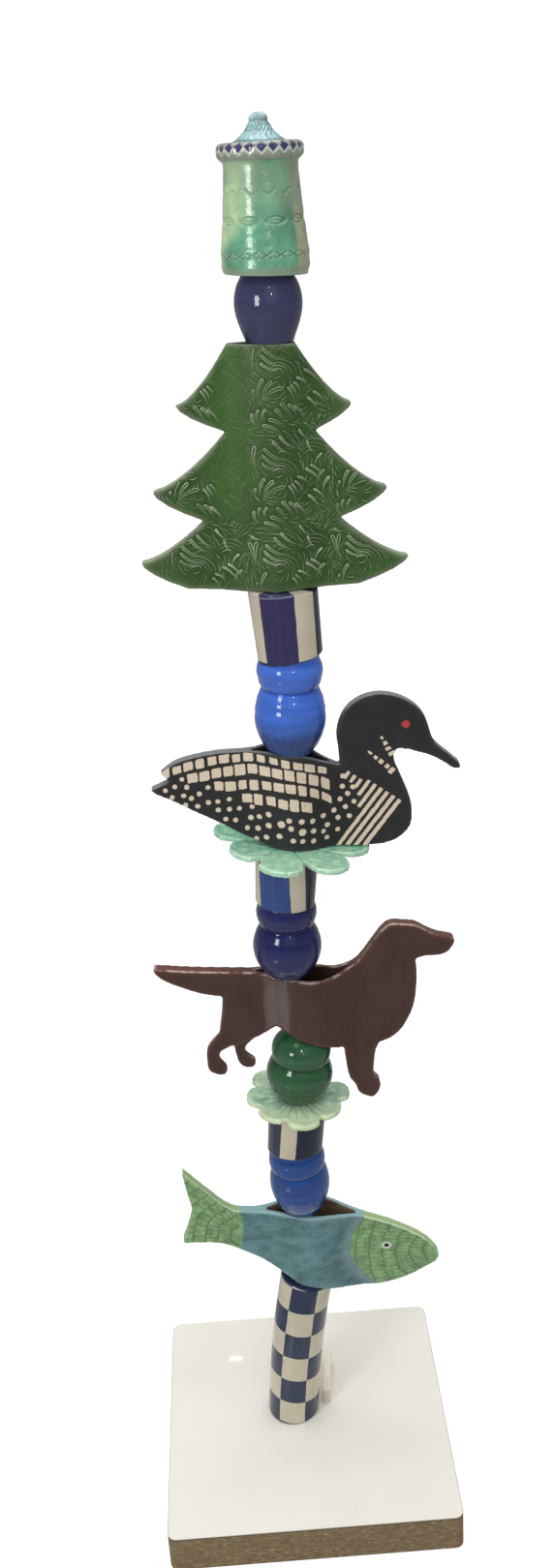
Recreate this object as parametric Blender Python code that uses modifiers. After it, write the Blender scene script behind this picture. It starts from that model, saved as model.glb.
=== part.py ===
"""Garden totem pole: hollow stoneware figures, beads and striped cylinders on a square board.

Metres, +Z up. The origin is the middle of the board's underside, +X runs to the noses of the
animals and -Y is the side that is looked at. Every piece sits on a seat, a small plane in
space, and the seats are worked out from the board up, so one changed height lifts all above.
"""
import math

import bmesh
import bpy
from mathutils import Matrix, Vector

NAME = "garden_totem_pole"

# Fits and finish of the solids
GAP = 0.0003                  # clear space left between two pieces that touch
OVERRUN = 0.012               # length past a seat before a turned piece is cut at it
ROUND_STEPS = 28              # facets round a turned piece
MERGE = 0.00001               # distance at which doubled points are one
WALL = 0.0060                 # thickness of a clay slab

# Board under the pole
BOARD_SIDE = 0.305
BOARD_THICKNESS = 0.043
BOARD_CORNER = 0.009
BOARD_EDGE = 0.0015
POLE_X = -0.0135              # where the pole stands on the board
POLE_Y = 0.012

# Loose wood block behind the pole's foot
BLOCK_LENGTH = 0.060
BLOCK_WIDTH = 0.0085
BLOCK_HEIGHT = 0.019
BLOCK_CLEARANCE = 0.0020      # from the column's side to the block
BLOCK_TURN = -6.0             # degrees away from the board's side

# Checked column at the foot
COLUMN_DIAMETER = 0.0565
COLUMN_HEIGHT = 0.185
COLUMN_LEAN = 7.2             # degrees, plus is to the right
COLUMN_TOP_TILT = -13.5       # degrees, minus is low on the right
COLUMN_BOW = 0.0030           # how far its middle bends to the left
COLUMN_RIM = 0.0020

# Fish: an envelope of two slabs, as shares of its own length
FISH_LENGTH = 0.271
FISH_SINK = -0.00056          # how far the bead sinks into its back, minus is proud of it
FISH_SHIFT = 0.0026
FISH_TOP_TILT = -1.0
FISH_DEPTH = 0.044            # over both slabs at the widest
FISH_END = 0.012              # over both slabs where they are joined
FISH_SWELL = 0.120            # length of the part that bulges
FISH_SWELL_AT = 0.031         # its middle, from the lower seat, as a share of the length

# Lower blue bead, two bulges in one piece
BLUE_BEAD_HEIGHT = 0.0760
BLUE_BEAD_LEAN = -4.2
BLUE_BEAD_TOP_TILT = -2.0
BLUE_BEAD_TOP_PITCH = -8.0     # degrees, minus is high at the front
BLUE_BEAD_FOOT = 0.0380
BLUE_BEAD_BELLY = 0.0624
BLUE_BEAD_WAIST = 0.0550
BLUE_BEAD_SHOULDER = 0.0585
BLUE_BEAD_NECK = 0.0520
BLUE_BEAD_LEVELS = (0.46, 0.70, 0.83)      # belly, waist and shoulder, as shares of the height

# Lower striped cylinder
LOW_CYLINDER_FOOT = 0.0570
LOW_CYLINDER_HEAD = 0.0590
LOW_CYLINDER_HEIGHT = 0.0570
LOW_CYLINDER_LEAN = 5.6
LOW_CYLINDER_TOP_TILT = -4.0

# Lower flower disc, its petals cut by hand as (direction in degrees, reach)
LOW_FLOWER_NOTCH = 0.0400
LOW_FLOWER_THICKNESS = 0.0060
LOW_FLOWER_PETALS = (
    (-133, 0.0495), (-85, 0.0535), (-36, 0.0480), (15, 0.0550),
    (57, 0.0540), (95, 0.0540), (132, 0.0590), (178, 0.0520),
)

# Green bead
GREEN_BEAD_HEIGHT = 0.0760
GREEN_BEAD_LEAN = 6.2
GREEN_BEAD_TOP_TILT = -9.0
GREEN_BEAD_FOOT = 0.0380
GREEN_BEAD_BELLY = 0.0672
GREEN_BEAD_WAIST = 0.0560
GREEN_BEAD_SHOULDER = 0.0600
GREEN_BEAD_NECK = 0.0340
GREEN_BEAD_LEVELS = (0.385, 0.605, 0.755)

# Dog
DOG_LENGTH = 0.294
DOG_SINK = 0.00121
DOG_SHIFT = -0.0344
DOG_TOP_TILT = -3.0
DOG_DEPTH = 0.045
DOG_END = 0.013
DOG_SWELL = 0.108
DOG_SWELL_AT = 0.0153
LEG_LAP = 0.0005              # how far each hind leg passes the middle

# Navy bead
NAVY_BEAD_HEIGHT = 0.0770
NAVY_BEAD_LEAN = 0.6
NAVY_BEAD_TOP_TILT = -9.0
NAVY_BEAD_FOOT = 0.0400
NAVY_BEAD_BELLY = 0.0675
NAVY_BEAD_WAIST = 0.0510
NAVY_BEAD_SHOULDER = 0.0590
NAVY_BEAD_NECK = 0.0545
NAVY_BEAD_LEVELS = (0.385, 0.70, 0.865)

# Middle striped cylinder
MIDDLE_CYLINDER_FOOT = 0.0575
MIDDLE_CYLINDER_HEAD = 0.0605
MIDDLE_CYLINDER_HEIGHT = 0.0560
MIDDLE_CYLINDER_LEAN = 4.8
MIDDLE_CYLINDER_TOP_TILT = -5.5

# Upper flower disc
TOP_FLOWER_NOTCH = 0.0390
TOP_FLOWER_THICKNESS = 0.0060
TOP_FLOWER_PETALS = (
    (-96, 0.0665), (-48, 0.0735), (-1, 0.0780), (51, 0.0740),
    (101, 0.0740), (149, 0.0775), (-160, 0.0570),
)

# Loon
LOON_LENGTH = 0.2875
LOON_SINK = 0.00035
LOON_SHIFT = 0.0289
LOON_TOP_TILT = -4.0
LOON_DEPTH = 0.043
LOON_END = 0.011
LOON_SWELL = 0.092
LOON_SWELL_AT = 0.0261

# Sky bead
SKY_BEAD_HEIGHT = 0.0900
SKY_BEAD_LEAN = 2.6
SKY_BEAD_TOP_TILT = 6.5
SKY_BEAD_FOOT = 0.0420
SKY_BEAD_BELLY = 0.0656
SKY_BEAD_WAIST = 0.0512
SKY_BEAD_SHOULDER = 0.0598
SKY_BEAD_NECK = 0.0530
SKY_BEAD_LEVELS = (0.38, 0.685, 0.835)

# Upper striped cylinder
TOP_CYLINDER_FOOT = 0.0588
TOP_CYLINDER_HEAD = 0.0622
TOP_CYLINDER_HEIGHT = 0.0630
TOP_CYLINDER_LEAN = -3.5
TOP_CYLINDER_TOP_TILT = -2.5

# Tree
TREE_HEIGHT = 0.2070
TREE_SHIFT = -0.0078          # the tree's own middle, from the seat under it
TREE_TOP_TILT = -2.0
TREE_LEAN = 0.25
TREE_TOP_HALF = 0.0280
TREE_TOP_DRIFT = -0.0065      # how far the top edge sits off the tree's middle
TREE_DRIFT = (-0.0049, -0.0010, 0.0020)    # the same for each tier
TREE_LIFT = 0.0025            # how far the flat bottom edge curls up at its ends
TREE_DEPTH = 0.040
TREE_END = 0.012
TREE_SWELL = 0.092
TREE_REACH = (0.0735, 0.1005, 0.1165)      # half widths of the tiers, from the top
TREE_TIP = (0.763, 0.421, 0.127)           # how high the tips are, as shares of the height
TREE_NOTCH = (0.0370, 0.0580)              # half widths between the tiers
TREE_NECK = (0.657, 0.296)                 # how high the notches are
TREE_SKIRT = 0.0750                        # half width of the flat bottom edge

# Cobalt bead, a single bulge
COBALT_BEAD_HEIGHT = 0.0530
COBALT_BEAD_LEAN = 0.2
COBALT_BEAD_TOP_TILT = -2.5
COBALT_BEAD_FOOT = 0.0394
COBALT_BEAD_BELLY = 0.0570
COBALT_BEAD_NECK = 0.0430
COBALT_BEAD_LEVEL = 0.59

# Finial
FINIAL_HEIGHT = 0.1195
FINIAL_FOOT = 0.0722
FINIAL_WAIST = 0.0604
FINIAL_RIM = 0.0686
FINIAL_RIM_HEIGHT = 0.0085
FINIAL_KNOB = 0.0150
FINIAL_BODY = 0.0835          # from the seat to the waist
FINIAL_LIP = 0.0050

# Colours and gloss read from the glazes
FINISH = {
    "board": ((0.80, 0.78, 0.70, 1.0), 0.45),
    "wood": ((0.72, 0.60, 0.42, 1.0), 0.70),
    "checks": ((0.05, 0.07, 0.13, 1.0), 0.22),
    "teal": ((0.12, 0.25, 0.25, 1.0), 0.35),
    "blue": ((0.06, 0.11, 0.34, 1.0), 0.15),
    "stripes": ((0.04, 0.05, 0.13, 1.0), 0.20),
    "celadon": ((0.42, 0.62, 0.48, 1.0), 0.25),
    "green": ((0.05, 0.14, 0.06, 1.0), 0.15),
    "brown": ((0.10, 0.05, 0.04, 1.0), 0.18),
    "navy": ((0.03, 0.03, 0.12, 1.0), 0.12),
    "black": ((0.03, 0.03, 0.03, 1.0), 0.50),
    "sky": ((0.08, 0.16, 0.55, 1.0), 0.12),
    "leaf": ((0.10, 0.17, 0.06, 1.0), 0.30),
    "cobalt": ((0.05, 0.05, 0.14, 1.0), 0.12),
    "moss": ((0.25, 0.38, 0.22, 1.0), 0.20),
}

# The fish's side as (along, up) from the seat under it, in shares of its length
FISH_OUTLINE = (
    (-0.457, 0.545, True), (-0.441, 0.436, False), (-0.430, 0.367, False),
    (-0.445, 0.300, False), (-0.474, 0.222, True), (-0.470, 0.210, True),
    (-0.390, 0.207, False), (-0.320, 0.195, False), (-0.232, 0.148, False),
    (-0.101, 0.060, False), (-0.009, -0.001, False), (0.081, -0.022, False),
    (0.233, -0.056, False), (0.305, -0.055, False), (0.413, -0.023, False),
    (0.471, 0.010, False), (0.511, 0.032, True), (0.525, 0.062, False),
    (0.514, 0.089, False), (0.473, 0.141, False), (0.390, 0.201, False),
    (0.279, 0.258, False), (0.173, 0.297, False), (0.067, 0.325, False),
    (-0.076, 0.336, False), (-0.220, 0.339, False), (-0.275, 0.353, False),
    (-0.359, 0.433, False),
)

# The dog's side without its legs, in shares of its length from the seat under it
DOG_OUTLINE = (
    (-0.4800, 0.2780, False), (-0.4810, 0.2830, False), (-0.4720, 0.2840, False),
    (-0.3800, 0.2710, False), (-0.2530, 0.2580, False), (-0.1280, 0.2470, False),
    (-0.0330, 0.2390, False), (0.0280, 0.2240, False), (0.0770, 0.2200, False),
    (0.1200, 0.2235, False), (0.1570, 0.2400, False), (0.1940, 0.2620, False),
    (0.2300, 0.3070, False), (0.2590, 0.3470, False), (0.2950, 0.3880, False),
    (0.3190, 0.3950, False), (0.3560, 0.3900, False), (0.3910, 0.3840, False),
    (0.4260, 0.3610, False), (0.4670, 0.3400, False), (0.5120, 0.3270, False),
    (0.5190, 0.3220, False), (0.5090, 0.2920, False), (0.4880, 0.2720, False),
    (0.4520, 0.2660, False), (0.3960, 0.2620, False), (0.3890, 0.2530, True),
    (0.3920, 0.2100, False), (0.3890, 0.1450, False), (0.3790, 0.0810, False),
    (0.3560, 0.0250, False), (0.3230, -0.0220, False), (0.2700, -0.0520, False),
    (0.1900, -0.0560, False), (0.1350, -0.0540, False), (0.0870, -0.0400, False),
    (0.0310, -0.0150, False), (-0.0100, 0.0050, False), (-0.0510, 0.0300, False),
    (-0.0860, 0.0530, True), (-0.1360, 0.0110, False), (-0.1800, -0.0100, False),
    (-0.2330, -0.0300, False), (-0.2750, 0.0100, False), (-0.2725, 0.0570, False),
    (-0.2650, 0.1010, False), (-0.2600, 0.1660, True), (-0.2800, 0.1700, False),
    (-0.3280, 0.1820, False), (-0.3890, 0.2090, False), (-0.4420, 0.2370, False),
    (-0.4680, 0.2590, False),
)
DOG_NEAR_HIND_LEG = (
    (-0.2650, 0.0600, False), (-0.2800, 0.0210, False), (-0.3070, -0.0070, False),
    (-0.3250, -0.0370, False), (-0.3280, -0.0850, False), (-0.3250, -0.1170, False),
    (-0.3070, -0.1330, False), (-0.2750, -0.1410, False), (-0.2630, -0.1280, False),
    (-0.2640, -0.1070, False), (-0.2780, -0.0880, False), (-0.2860, -0.0660, False),
    (-0.2770, -0.0460, False), (-0.2530, -0.0340, False), (-0.2100, 0.0100, False),
)
DOG_FAR_HIND_LEG = (
    (-0.2450, 0.0300, False), (-0.2350, -0.0300, False), (-0.2270, -0.0870, False),
    (-0.2180, -0.1130, False), (-0.1960, -0.1300, False), (-0.1720, -0.1280, False),
    (-0.1640, -0.1150, False), (-0.1680, -0.0980, False), (-0.1830, -0.0860, False),
    (-0.1970, -0.0660, False), (-0.1920, -0.0420, False), (-0.1500, -0.0050, False),
    (-0.1300, 0.0300, False),
)
DOG_FORELEG = (
    (0.1250, 0.0100, False), (0.1390, -0.0650, False), (0.1450, -0.1340, False),
    (0.1560, -0.1880, False), (0.1740, -0.2170, False), (0.1840, -0.2500, False),
    (0.2110, -0.2680, False), (0.2310, -0.2730, False), (0.2440, -0.2640, False),
    (0.2590, -0.2320, False), (0.2560, -0.2100, False), (0.2400, -0.1910, False),
    (0.2390, -0.1400, False), (0.2470, -0.0820, False), (0.2700, 0.0100, False),
)

# The loon's side from the seat under it, in shares of its length
LOON_OUTLINE = (
    (-0.3930, 0.2765, True), (-0.3480, 0.3080, False), (-0.2870, 0.3250, False),
    (-0.1930, 0.3360, False), (-0.0870, 0.3340, False), (-0.0150, 0.3340, False),
    (0.0640, 0.3200, False), (0.1250, 0.2890, False), (0.1830, 0.2640, True),
    (0.1800, 0.3210, False), (0.1760, 0.3650, False), (0.1860, 0.4110, False),
    (0.2070, 0.4510, False), (0.2400, 0.4790, False), (0.2800, 0.4950, False),
    (0.3270, 0.4970, False), (0.3660, 0.4880, False), (0.4060, 0.4680, False),
    (0.4380, 0.4410, False), (0.4610, 0.4040, False), (0.4740, 0.3570, False),
    (0.4870, 0.3230, False), (0.5170, 0.2930, False), (0.5490, 0.2620, False),
    (0.5700, 0.2370, False), (0.5640, 0.2260, False), (0.5230, 0.2470, False),
    (0.4830, 0.2740, False), (0.4290, 0.2950, False), (0.3750, 0.3090, False),
    (0.3610, 0.3040, False), (0.3570, 0.2690, False), (0.3700, 0.2310, False),
    (0.3900, 0.1780, False), (0.4060, 0.1290, False), (0.4100, 0.0850, False),
    (0.4040, 0.0400, False), (0.3790, 0.0080, False), (0.3410, -0.0140, False),
    (0.2850, -0.0230, False), (0.1750, -0.0195, False), (0.0770, -0.0070, False),
    (0.0080, 0.0010, False), (-0.0450, 0.0070, False), (-0.0850, 0.0200, False),
    (-0.1380, 0.0430, False), (-0.2030, 0.0860, False), (-0.2950, 0.1390, False),
    (-0.3650, 0.1830, False), (-0.4110, 0.2060, False), (-0.4290, 0.2220, True),
    (-0.3640, 0.2490, True),
)


def wipe_scene():
    """Remove every object that the file opened with."""
    for thing in list(bpy.data.objects):
        bpy.data.objects.remove(thing, do_unlink=True)


def new_collection(name):
    group = bpy.data.collections.new(name)
    bpy.context.scene.collection.children.link(group)
    return group


def glaze(name):
    """A plain material with the piece's colour and gloss."""
    material = bpy.data.materials.get(name)
    if material:
        return material
    colour, roughness = FINISH[name]
    material = bpy.data.materials.new(name)
    material.use_nodes = True
    shader = material.node_tree.nodes["Principled BSDF"]
    shader.inputs["Base Color"].default_value = colour
    shader.inputs["Roughness"].default_value = roughness
    shader.inputs["Metallic"].default_value = 0.0
    return material


class Seat:
    """The plane between two pieces: its middle and how far it tilts and pitches."""

    def __init__(self, point, tilt=0.0, pitch=0.0):
        self.point = Vector(point)
        self.tilt = tilt
        self.pitch = pitch

    def turn(self):
        tilt = Matrix.Rotation(math.radians(-self.tilt), 4, "Y")
        return tilt @ Matrix.Rotation(math.radians(self.pitch), 4, "X")

    def frame(self, lift=0.0):
        """The seat's own axes, moved by lift along its normal."""
        turn = self.turn()
        return Matrix.Translation(self.point + turn.to_3x3() @ Vector((0.0, 0.0, lift))) @ turn

    def above(self, rise, lean=0.0, tilt=0.0, pitch=0.0):
        """The next seat up, over a piece that rises and leans."""
        shift = rise * math.tan(math.radians(lean))
        return Seat(self.point + Vector((shift, 0.0, rise)), tilt, pitch)


def cutter(thing, group):
    """Keep an object as a tool that shapes others and isn't a piece itself."""
    group.objects.link(thing)
    thing.hide_render = True
    thing.display_type = "WIRE"
    return thing


def mesh_object(name, mesh):
    return bpy.data.objects.new(name, mesh)


def boolean(thing, tool, kind):
    step = thing.modifiers.new(kind.title(), "BOOLEAN")
    step.operation = kind
    step.object = tool
    step.solver = "EXACT"


def smooth_round(mesh):
    mesh.shade_smooth()
    mesh.set_sharp_from_angle(angle=math.radians(35))


def box_mesh(name, size, middle=(0.0, 0.0, 0.0)):
    """A closed box of the given size about a middle point."""
    shape = bmesh.new()
    bmesh.ops.create_cube(shape, size=1.0)
    bmesh.ops.scale(shape, vec=Vector(size), verts=shape.verts)
    bmesh.ops.translate(shape, vec=Vector(middle), verts=shape.verts)
    mesh = bpy.data.meshes.new(name)
    shape.to_mesh(mesh)
    shape.free()
    return mesh


def cut_at_seat(thing, seat, lift, side, tools):
    """Cut a piece square at a seat: side +1 takes away what is above it, -1 what is below."""
    reach = 0.40
    name = f"{thing.name}_end_{'top' if side > 0 else 'foot'}"
    tool = mesh_object(name, box_mesh(name, (reach, reach, reach), (0.0, 0.0, side * reach / 2)))
    tool.matrix_world = seat.frame(lift)
    cutter(tool, tools)
    boolean(thing, tool, "DIFFERENCE")


def turned(name, profile, lower, upper, tools, grow=0.0):
    """Turn a profile, given as (radius, height) from the foot up, between two seats."""
    axis = upper.point - lower.point
    stretch = axis.length
    points = [(profile[0][0], -OVERRUN)] + list(profile) + [(profile[-1][0], stretch + OVERRUN)]
    outer = [(radius + grow, height) for radius, height in reversed(points)]
    outer = [(0.0, outer[0][1])] + outer + [(0.0, outer[-1][1])]
    mesh = bpy.data.meshes.new(name)
    corners = [(radius, 0.0, height) for radius, height in outer]
    mesh.from_pydata(corners, [(i, i + 1) for i in range(len(corners) - 1)], [])
    piece = mesh_object(name, mesh)
    piece.matrix_world = Matrix.Translation(lower.point) @ axis.to_track_quat("Z", "Y").to_matrix().to_4x4()
    screw = piece.modifiers.new("Turn", "SCREW")
    screw.angle = math.tau
    screw.steps = ROUND_STEPS
    screw.render_steps = ROUND_STEPS
    screw.use_merge_vertices = True
    screw.merge_threshold = MERGE
    screw.use_smooth_shade = True
    cut_at_seat(piece, lower, GAP / 2 - grow, -1, tools)
    cut_at_seat(piece, upper, grow - GAP / 2, 1, tools)
    return piece


def column_form(name, seats, tools, grow=0.0):
    """The column, a tube that leans and bows between its two seats."""
    low = seats["column"].point
    high = seats["fish"].point
    curve = bpy.data.curves.new(name, "CURVE")
    curve.dimensions = "3D"
    curve.bevel_depth = COLUMN_DIAMETER / 2 + grow
    curve.bevel_resolution = ROUND_STEPS // 2 - 2
    curve.use_fill_caps = True
    spline = curve.splines.new("POLY")
    past = OVERRUN / COLUMN_HEIGHT
    shares = [-past, 0.0, 0.25, 0.5, 0.75, 1.0, 1.0 + 2 * past]
    spline.points.add(len(shares) - 1)
    for knot, share in zip(spline.points, shares):
        bow = COLUMN_BOW * 4 * share * (1 - share)
        middle = low.lerp(high, share)
        knot.co = (middle.x - bow, middle.y, middle.z, 1.0)
    column = curve_to_mesh(name, curve, Matrix.Identity(4), tools)
    cut_at_seat(column, seats["column"], GAP / 2 - grow, -1, tools)
    cut_at_seat(column, seats["fish"], grow - GAP / 2, 1, tools)
    return column


def soften(piece, width, steps, angle=50.0):
    """Round the edges that are sharper than an angle."""
    bevel = piece.modifiers.new("Soft edge", "BEVEL")
    bevel.width = width
    bevel.segments = steps
    bevel.limit_method = "ANGLE"
    bevel.angle_limit = math.radians(angle)
    bevel.use_clamp_overlap = True


def swell(start, end, low, high, steps, fullness=0.8):
    """Points where a radius grows from start to end, fast at first and then flat."""
    points = []
    for i in range(1, steps + 1):
        share = i / steps
        radius = start + (end - start) * math.sin(math.pi / 2 * share) ** fullness
        points.append((radius, low + (high - low) * share))
    return points


def shrink(start, end, low, high, steps, fullness=0.8):
    """Points where a radius falls from start to end, the mirror of swell."""
    rising = [(end, high)] + swell(end, start, high, low, steps, fullness)
    return list(reversed(rising))[1:]


def double_bead_profile(height, foot, belly, waist, shoulder, neck, levels):
    """Two bulges with a groove between them, from the foot up."""
    at_belly, at_waist, at_shoulder = (level * height for level in levels)
    points = [(foot / 2, 0.0)]
    points += swell(foot / 2, belly / 2, 0.0, at_belly, 4)
    points += shrink(belly / 2, waist / 2, at_belly, at_waist, 3)
    points += swell(waist / 2, shoulder / 2, at_waist, at_shoulder, 2)
    points += shrink(shoulder / 2, neck / 2, at_shoulder, height, 3)
    return points


def single_bead_profile(height, foot, belly, neck, level):
    points = [(foot / 2, 0.0)]
    points += swell(foot / 2, belly / 2, 0.0, level * height, 5, 1.1)
    points += shrink(belly / 2, neck / 2, level * height, height, 4)
    return points


def finial_profile():
    """A tapered drum with a banded rim and a roof that sweeps up to a knob."""
    rim_foot = FINIAL_BODY + 0.35 * FINIAL_RIM_HEIGHT
    rim_head = rim_foot + FINIAL_RIM_HEIGHT
    roof = FINIAL_HEIGHT - rim_head
    points = [
        (FINIAL_FOOT / 2 - 0.4 * FINIAL_LIP, 0.0),
        (FINIAL_FOOT / 2, FINIAL_LIP),
        (FINIAL_FOOT / 2, 3 * FINIAL_LIP),
        (0.45 * FINIAL_FOOT / 2 + 0.55 * FINIAL_WAIST / 2, 0.5 * FINIAL_BODY),
        (FINIAL_WAIST / 2, FINIAL_BODY - FINIAL_LIP),
        (FINIAL_WAIST / 2, FINIAL_BODY),
        (FINIAL_RIM / 2, rim_foot + 0.15 * FINIAL_RIM_HEIGHT),
        (FINIAL_RIM / 2, rim_head - 0.35 * FINIAL_RIM_HEIGHT),
        (0.86 * FINIAL_RIM / 2, rim_head),
    ]
    for i in range(1, 7):
        share = i / 7
        sweep = (0.82 * FINIAL_RIM / 2 - FINIAL_KNOB / 2) * (1 - share) ** 2.4
        points.append((FINIAL_KNOB / 2 + sweep, rim_head + share * roof))
    points.append((0.9 * FINIAL_KNOB / 2, FINIAL_HEIGHT - 0.1 * FINIAL_KNOB))
    points.append((0.5 * FINIAL_KNOB / 2, FINIAL_HEIGHT))
    return points


def flat_curve(name, rings, half, smooth=False, steps=2):
    """A flat outline, holes included, given a thickness of twice half."""
    curve = bpy.data.curves.new(name, "CURVE")
    curve.dimensions = "2D"
    curve.fill_mode = "BOTH"
    curve.extrude = half
    curve.resolution_u = steps
    curve.render_resolution_u = steps
    for ring in rings:
        spline = curve.splines.new("BEZIER" if smooth else "POLY")
        if smooth:
            spline.bezier_points.add(len(ring) - 1)
            for knot, (across, up, corner) in zip(spline.bezier_points, ring):
                knot.co = (across, up, 0.0)
                kind = "VECTOR" if corner else "AUTO"
                knot.handle_left_type = kind
                knot.handle_right_type = kind
        else:
            spline.points.add(len(ring) - 1)
            for knot, (across, up) in zip(spline.points, ring):
                knot.co = (across, up, 0.0, 1.0)
        spline.use_cyclic_u = True
    return curve


def curve_to_mesh(name, curve, place, tools):
    """Turn a curve into a closed mesh object in the same place."""
    sketch = bpy.data.objects.new(name + "_sketch", curve)
    tools.objects.link(sketch)
    sketch.matrix_world = place
    bpy.context.view_layer.update()
    graph = bpy.context.evaluated_depsgraph_get()
    mesh = bpy.data.meshes.new_from_object(sketch.evaluated_get(graph))
    shape = bmesh.new()
    shape.from_mesh(mesh)
    bmesh.ops.remove_doubles(shape, verts=shape.verts, dist=MERGE)
    bmesh.ops.recalc_face_normals(shape, faces=shape.faces)
    shape.to_mesh(mesh)
    shape.free()
    smooth_round(mesh)
    solid = mesh_object(name, mesh)
    solid.matrix_world = sketch.matrix_world.copy()
    bpy.data.objects.remove(sketch, do_unlink=True)
    return solid


def half_depth(along, middle, swell_length, depth, end):
    """Half the thickness of a two-slab figure at a place along it."""
    away = abs(along - middle) / (swell_length / 2)
    if away >= 1:
        return end / 2
    return end / 2 + (depth - end) / 2 * math.cos(math.pi / 2 * away) ** 2


def plan_rings(reach, middle, swell_length, depth, end):
    """Two slabs seen from above: the outer line and the hollow between them."""
    steps = 18
    first = middle - swell_length / 2
    places = [first + swell_length * i / steps for i in range(steps + 1)]
    depths = [half_depth(place, middle, swell_length, depth, end) for place in places]
    outer = [(-reach, -end / 2)] + [(x, -y) for x, y in zip(places, depths)] + [(reach, -end / 2)]
    outer += [(x, -y) for x, y in reversed(outer)]
    open_part = [(x, y - WALL) for x, y in zip(places, depths) if y - WALL > 0.0006]
    hollow = [(x, -y) for x, y in open_part] + [(x, y) for x, y in reversed(open_part)]
    return [outer, hollow]


def upright(seat, turn=0.0):
    """A place at a seat with the outline's plane standing, facing the front."""
    stand = Matrix.Rotation(math.radians(90.0), 4, "X")
    lean = Matrix.Rotation(math.radians(-turn), 4, "Y")
    return Matrix.Translation(seat.point) @ lean @ stand


def slab_prism(name, outline, scale, seat, tools, near, far, smooth=True, steps=2, turn=0.0):
    """A side outline run through from near to far, measured from the pole's middle."""
    if smooth:
        ring = [(along * scale, up * scale, corner) for along, up, corner in outline]
    else:
        ring = [(along * scale, up * scale) for along, up in outline]
    curve = flat_curve(name, [ring], (far - near) / 2, smooth, steps)
    place = Matrix.Translation((0.0, (far + near) / 2, 0.0)) @ upright(seat, turn)
    return curve_to_mesh(name, curve, place, tools)


def hollow_out(figure, seat, reach, middle, swell_length, depth, end, tools, turn=0.0):
    """Keep only the two slabs of a figure, joined at their ends and open above and below."""
    name = figure.name + "_plan"
    curve = flat_curve(name, plan_rings(reach, middle, swell_length, depth, end), reach)
    lean = Matrix.Rotation(math.radians(-turn), 4, "Y")
    plan = curve_to_mesh(name, curve, Matrix.Translation(seat.point) @ lean, tools)
    cutter(plan, tools)
    boolean(figure, plan, "INTERSECT")


def rest_between(figure, lower_form, upper_form, tools):
    """Cut away what the neighbours, grown by the gap, would run through."""
    for form in (lower_form, upper_form):
        cutter(form, tools)
        boolean(figure, form, "DIFFERENCE")


def petal_ring(petals, notch):
    """The outline of a flower: round petals that meet half way between their directions."""
    points = []
    steps = 8
    for number, (direction, reach) in enumerate(petals):
        to_last = (direction - petals[number - 1][0]) % 360 / 2
        to_next = (petals[(number + 1) % len(petals)][0] - direction) % 360 / 2
        for i in range(steps):
            across = -1 + 2 * i / steps
            angle = math.radians(direction + across * (to_last if across < 0 else to_next))
            radius = notch + (reach - notch) * math.sqrt(1 - across * across)
            points.append((radius * math.cos(angle), radius * math.sin(angle)))
    return points


def flower(name, petals, notch, thickness, lower, tools):
    """A flat flower lying on a seat."""
    ring = petal_ring(petals, notch)
    curve = flat_curve(name, [ring], (thickness - GAP) / 2)
    return curve_to_mesh(name, curve, lower.frame(thickness / 2), tools)


def tree_ring():
    """The tree's outline: tiers that sweep out to a tip and curl under to a notch."""
    inner = (TREE_TOP_HALF,) + TREE_NOTCH
    starts = (1.0,) + TREE_NECK
    outs = TREE_NOTCH + (TREE_SKIRT,)
    ends = TREE_NECK + (TREE_LIFT / TREE_HEIGHT,)
    right = []
    left = []
    for tier in range(len(TREE_REACH)):
        begin = starts[tier] * TREE_HEIGHT
        tip = TREE_TIP[tier] * TREE_HEIGHT
        end = ends[tier] * TREE_HEIGHT
        drift = TREE_DRIFT[tier]
        root = TREE_TOP_DRIFT if tier == 0 else 0.0
        edge = []
        for i in range(6):
            share = i / 6
            width = inner[tier] + (TREE_REACH[tier] - inner[tier]) * share
            up = begin + (tip - begin) * (1 - (1 - share) ** 1.5)
            edge.append((width, up, root + (drift - root) * share))
        for share in (0.0, 0.08, 0.3, 0.6):
            width = TREE_REACH[tier] + (outs[tier] - TREE_REACH[tier]) * share
            up = tip + (end - tip) * share ** 0.62
            edge.append((width, up, drift * (1 - share)))
        right += [(middle + width, up) for width, up, middle in edge]
        left += [(middle - width, up) for width, up, middle in edge]
    for width, up in ((TREE_SKIRT, TREE_LIFT), (0.4 * TREE_SKIRT, 0.0)):
        right.append((width, up))
        left.append((-width, up))
    return right + left[::-1]


def rounded_square(side, corner, steps=4):
    points = []
    inset = side / 2 - corner
    for quarter in range(4):
        for i in range(steps + 1):
            angle = math.pi / 2 * (quarter + i / steps)
            middle_x = inset if quarter in (0, 3) else -inset
            middle_y = inset if quarter in (0, 1) else -inset
            points.append((middle_x + corner * math.cos(angle), middle_y + corner * math.sin(angle)))
    return points


def finish_piece(piece, finish, group):
    piece.data.materials.clear()
    piece.data.materials.append(glaze(finish))
    group.objects.link(piece)


def make_board(group, tools):
    """The square board, its underside on the ground."""
    ring = rounded_square(BOARD_SIDE, BOARD_CORNER)
    curve = flat_curve("base_board", [ring], BOARD_THICKNESS / 2)
    board = curve_to_mesh("base_board", curve, Matrix.Translation((0.0, 0.0, BOARD_THICKNESS / 2)), tools)
    soften(board, BOARD_EDGE, 1, 60.0)
    finish_piece(board, "board", group)


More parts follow.
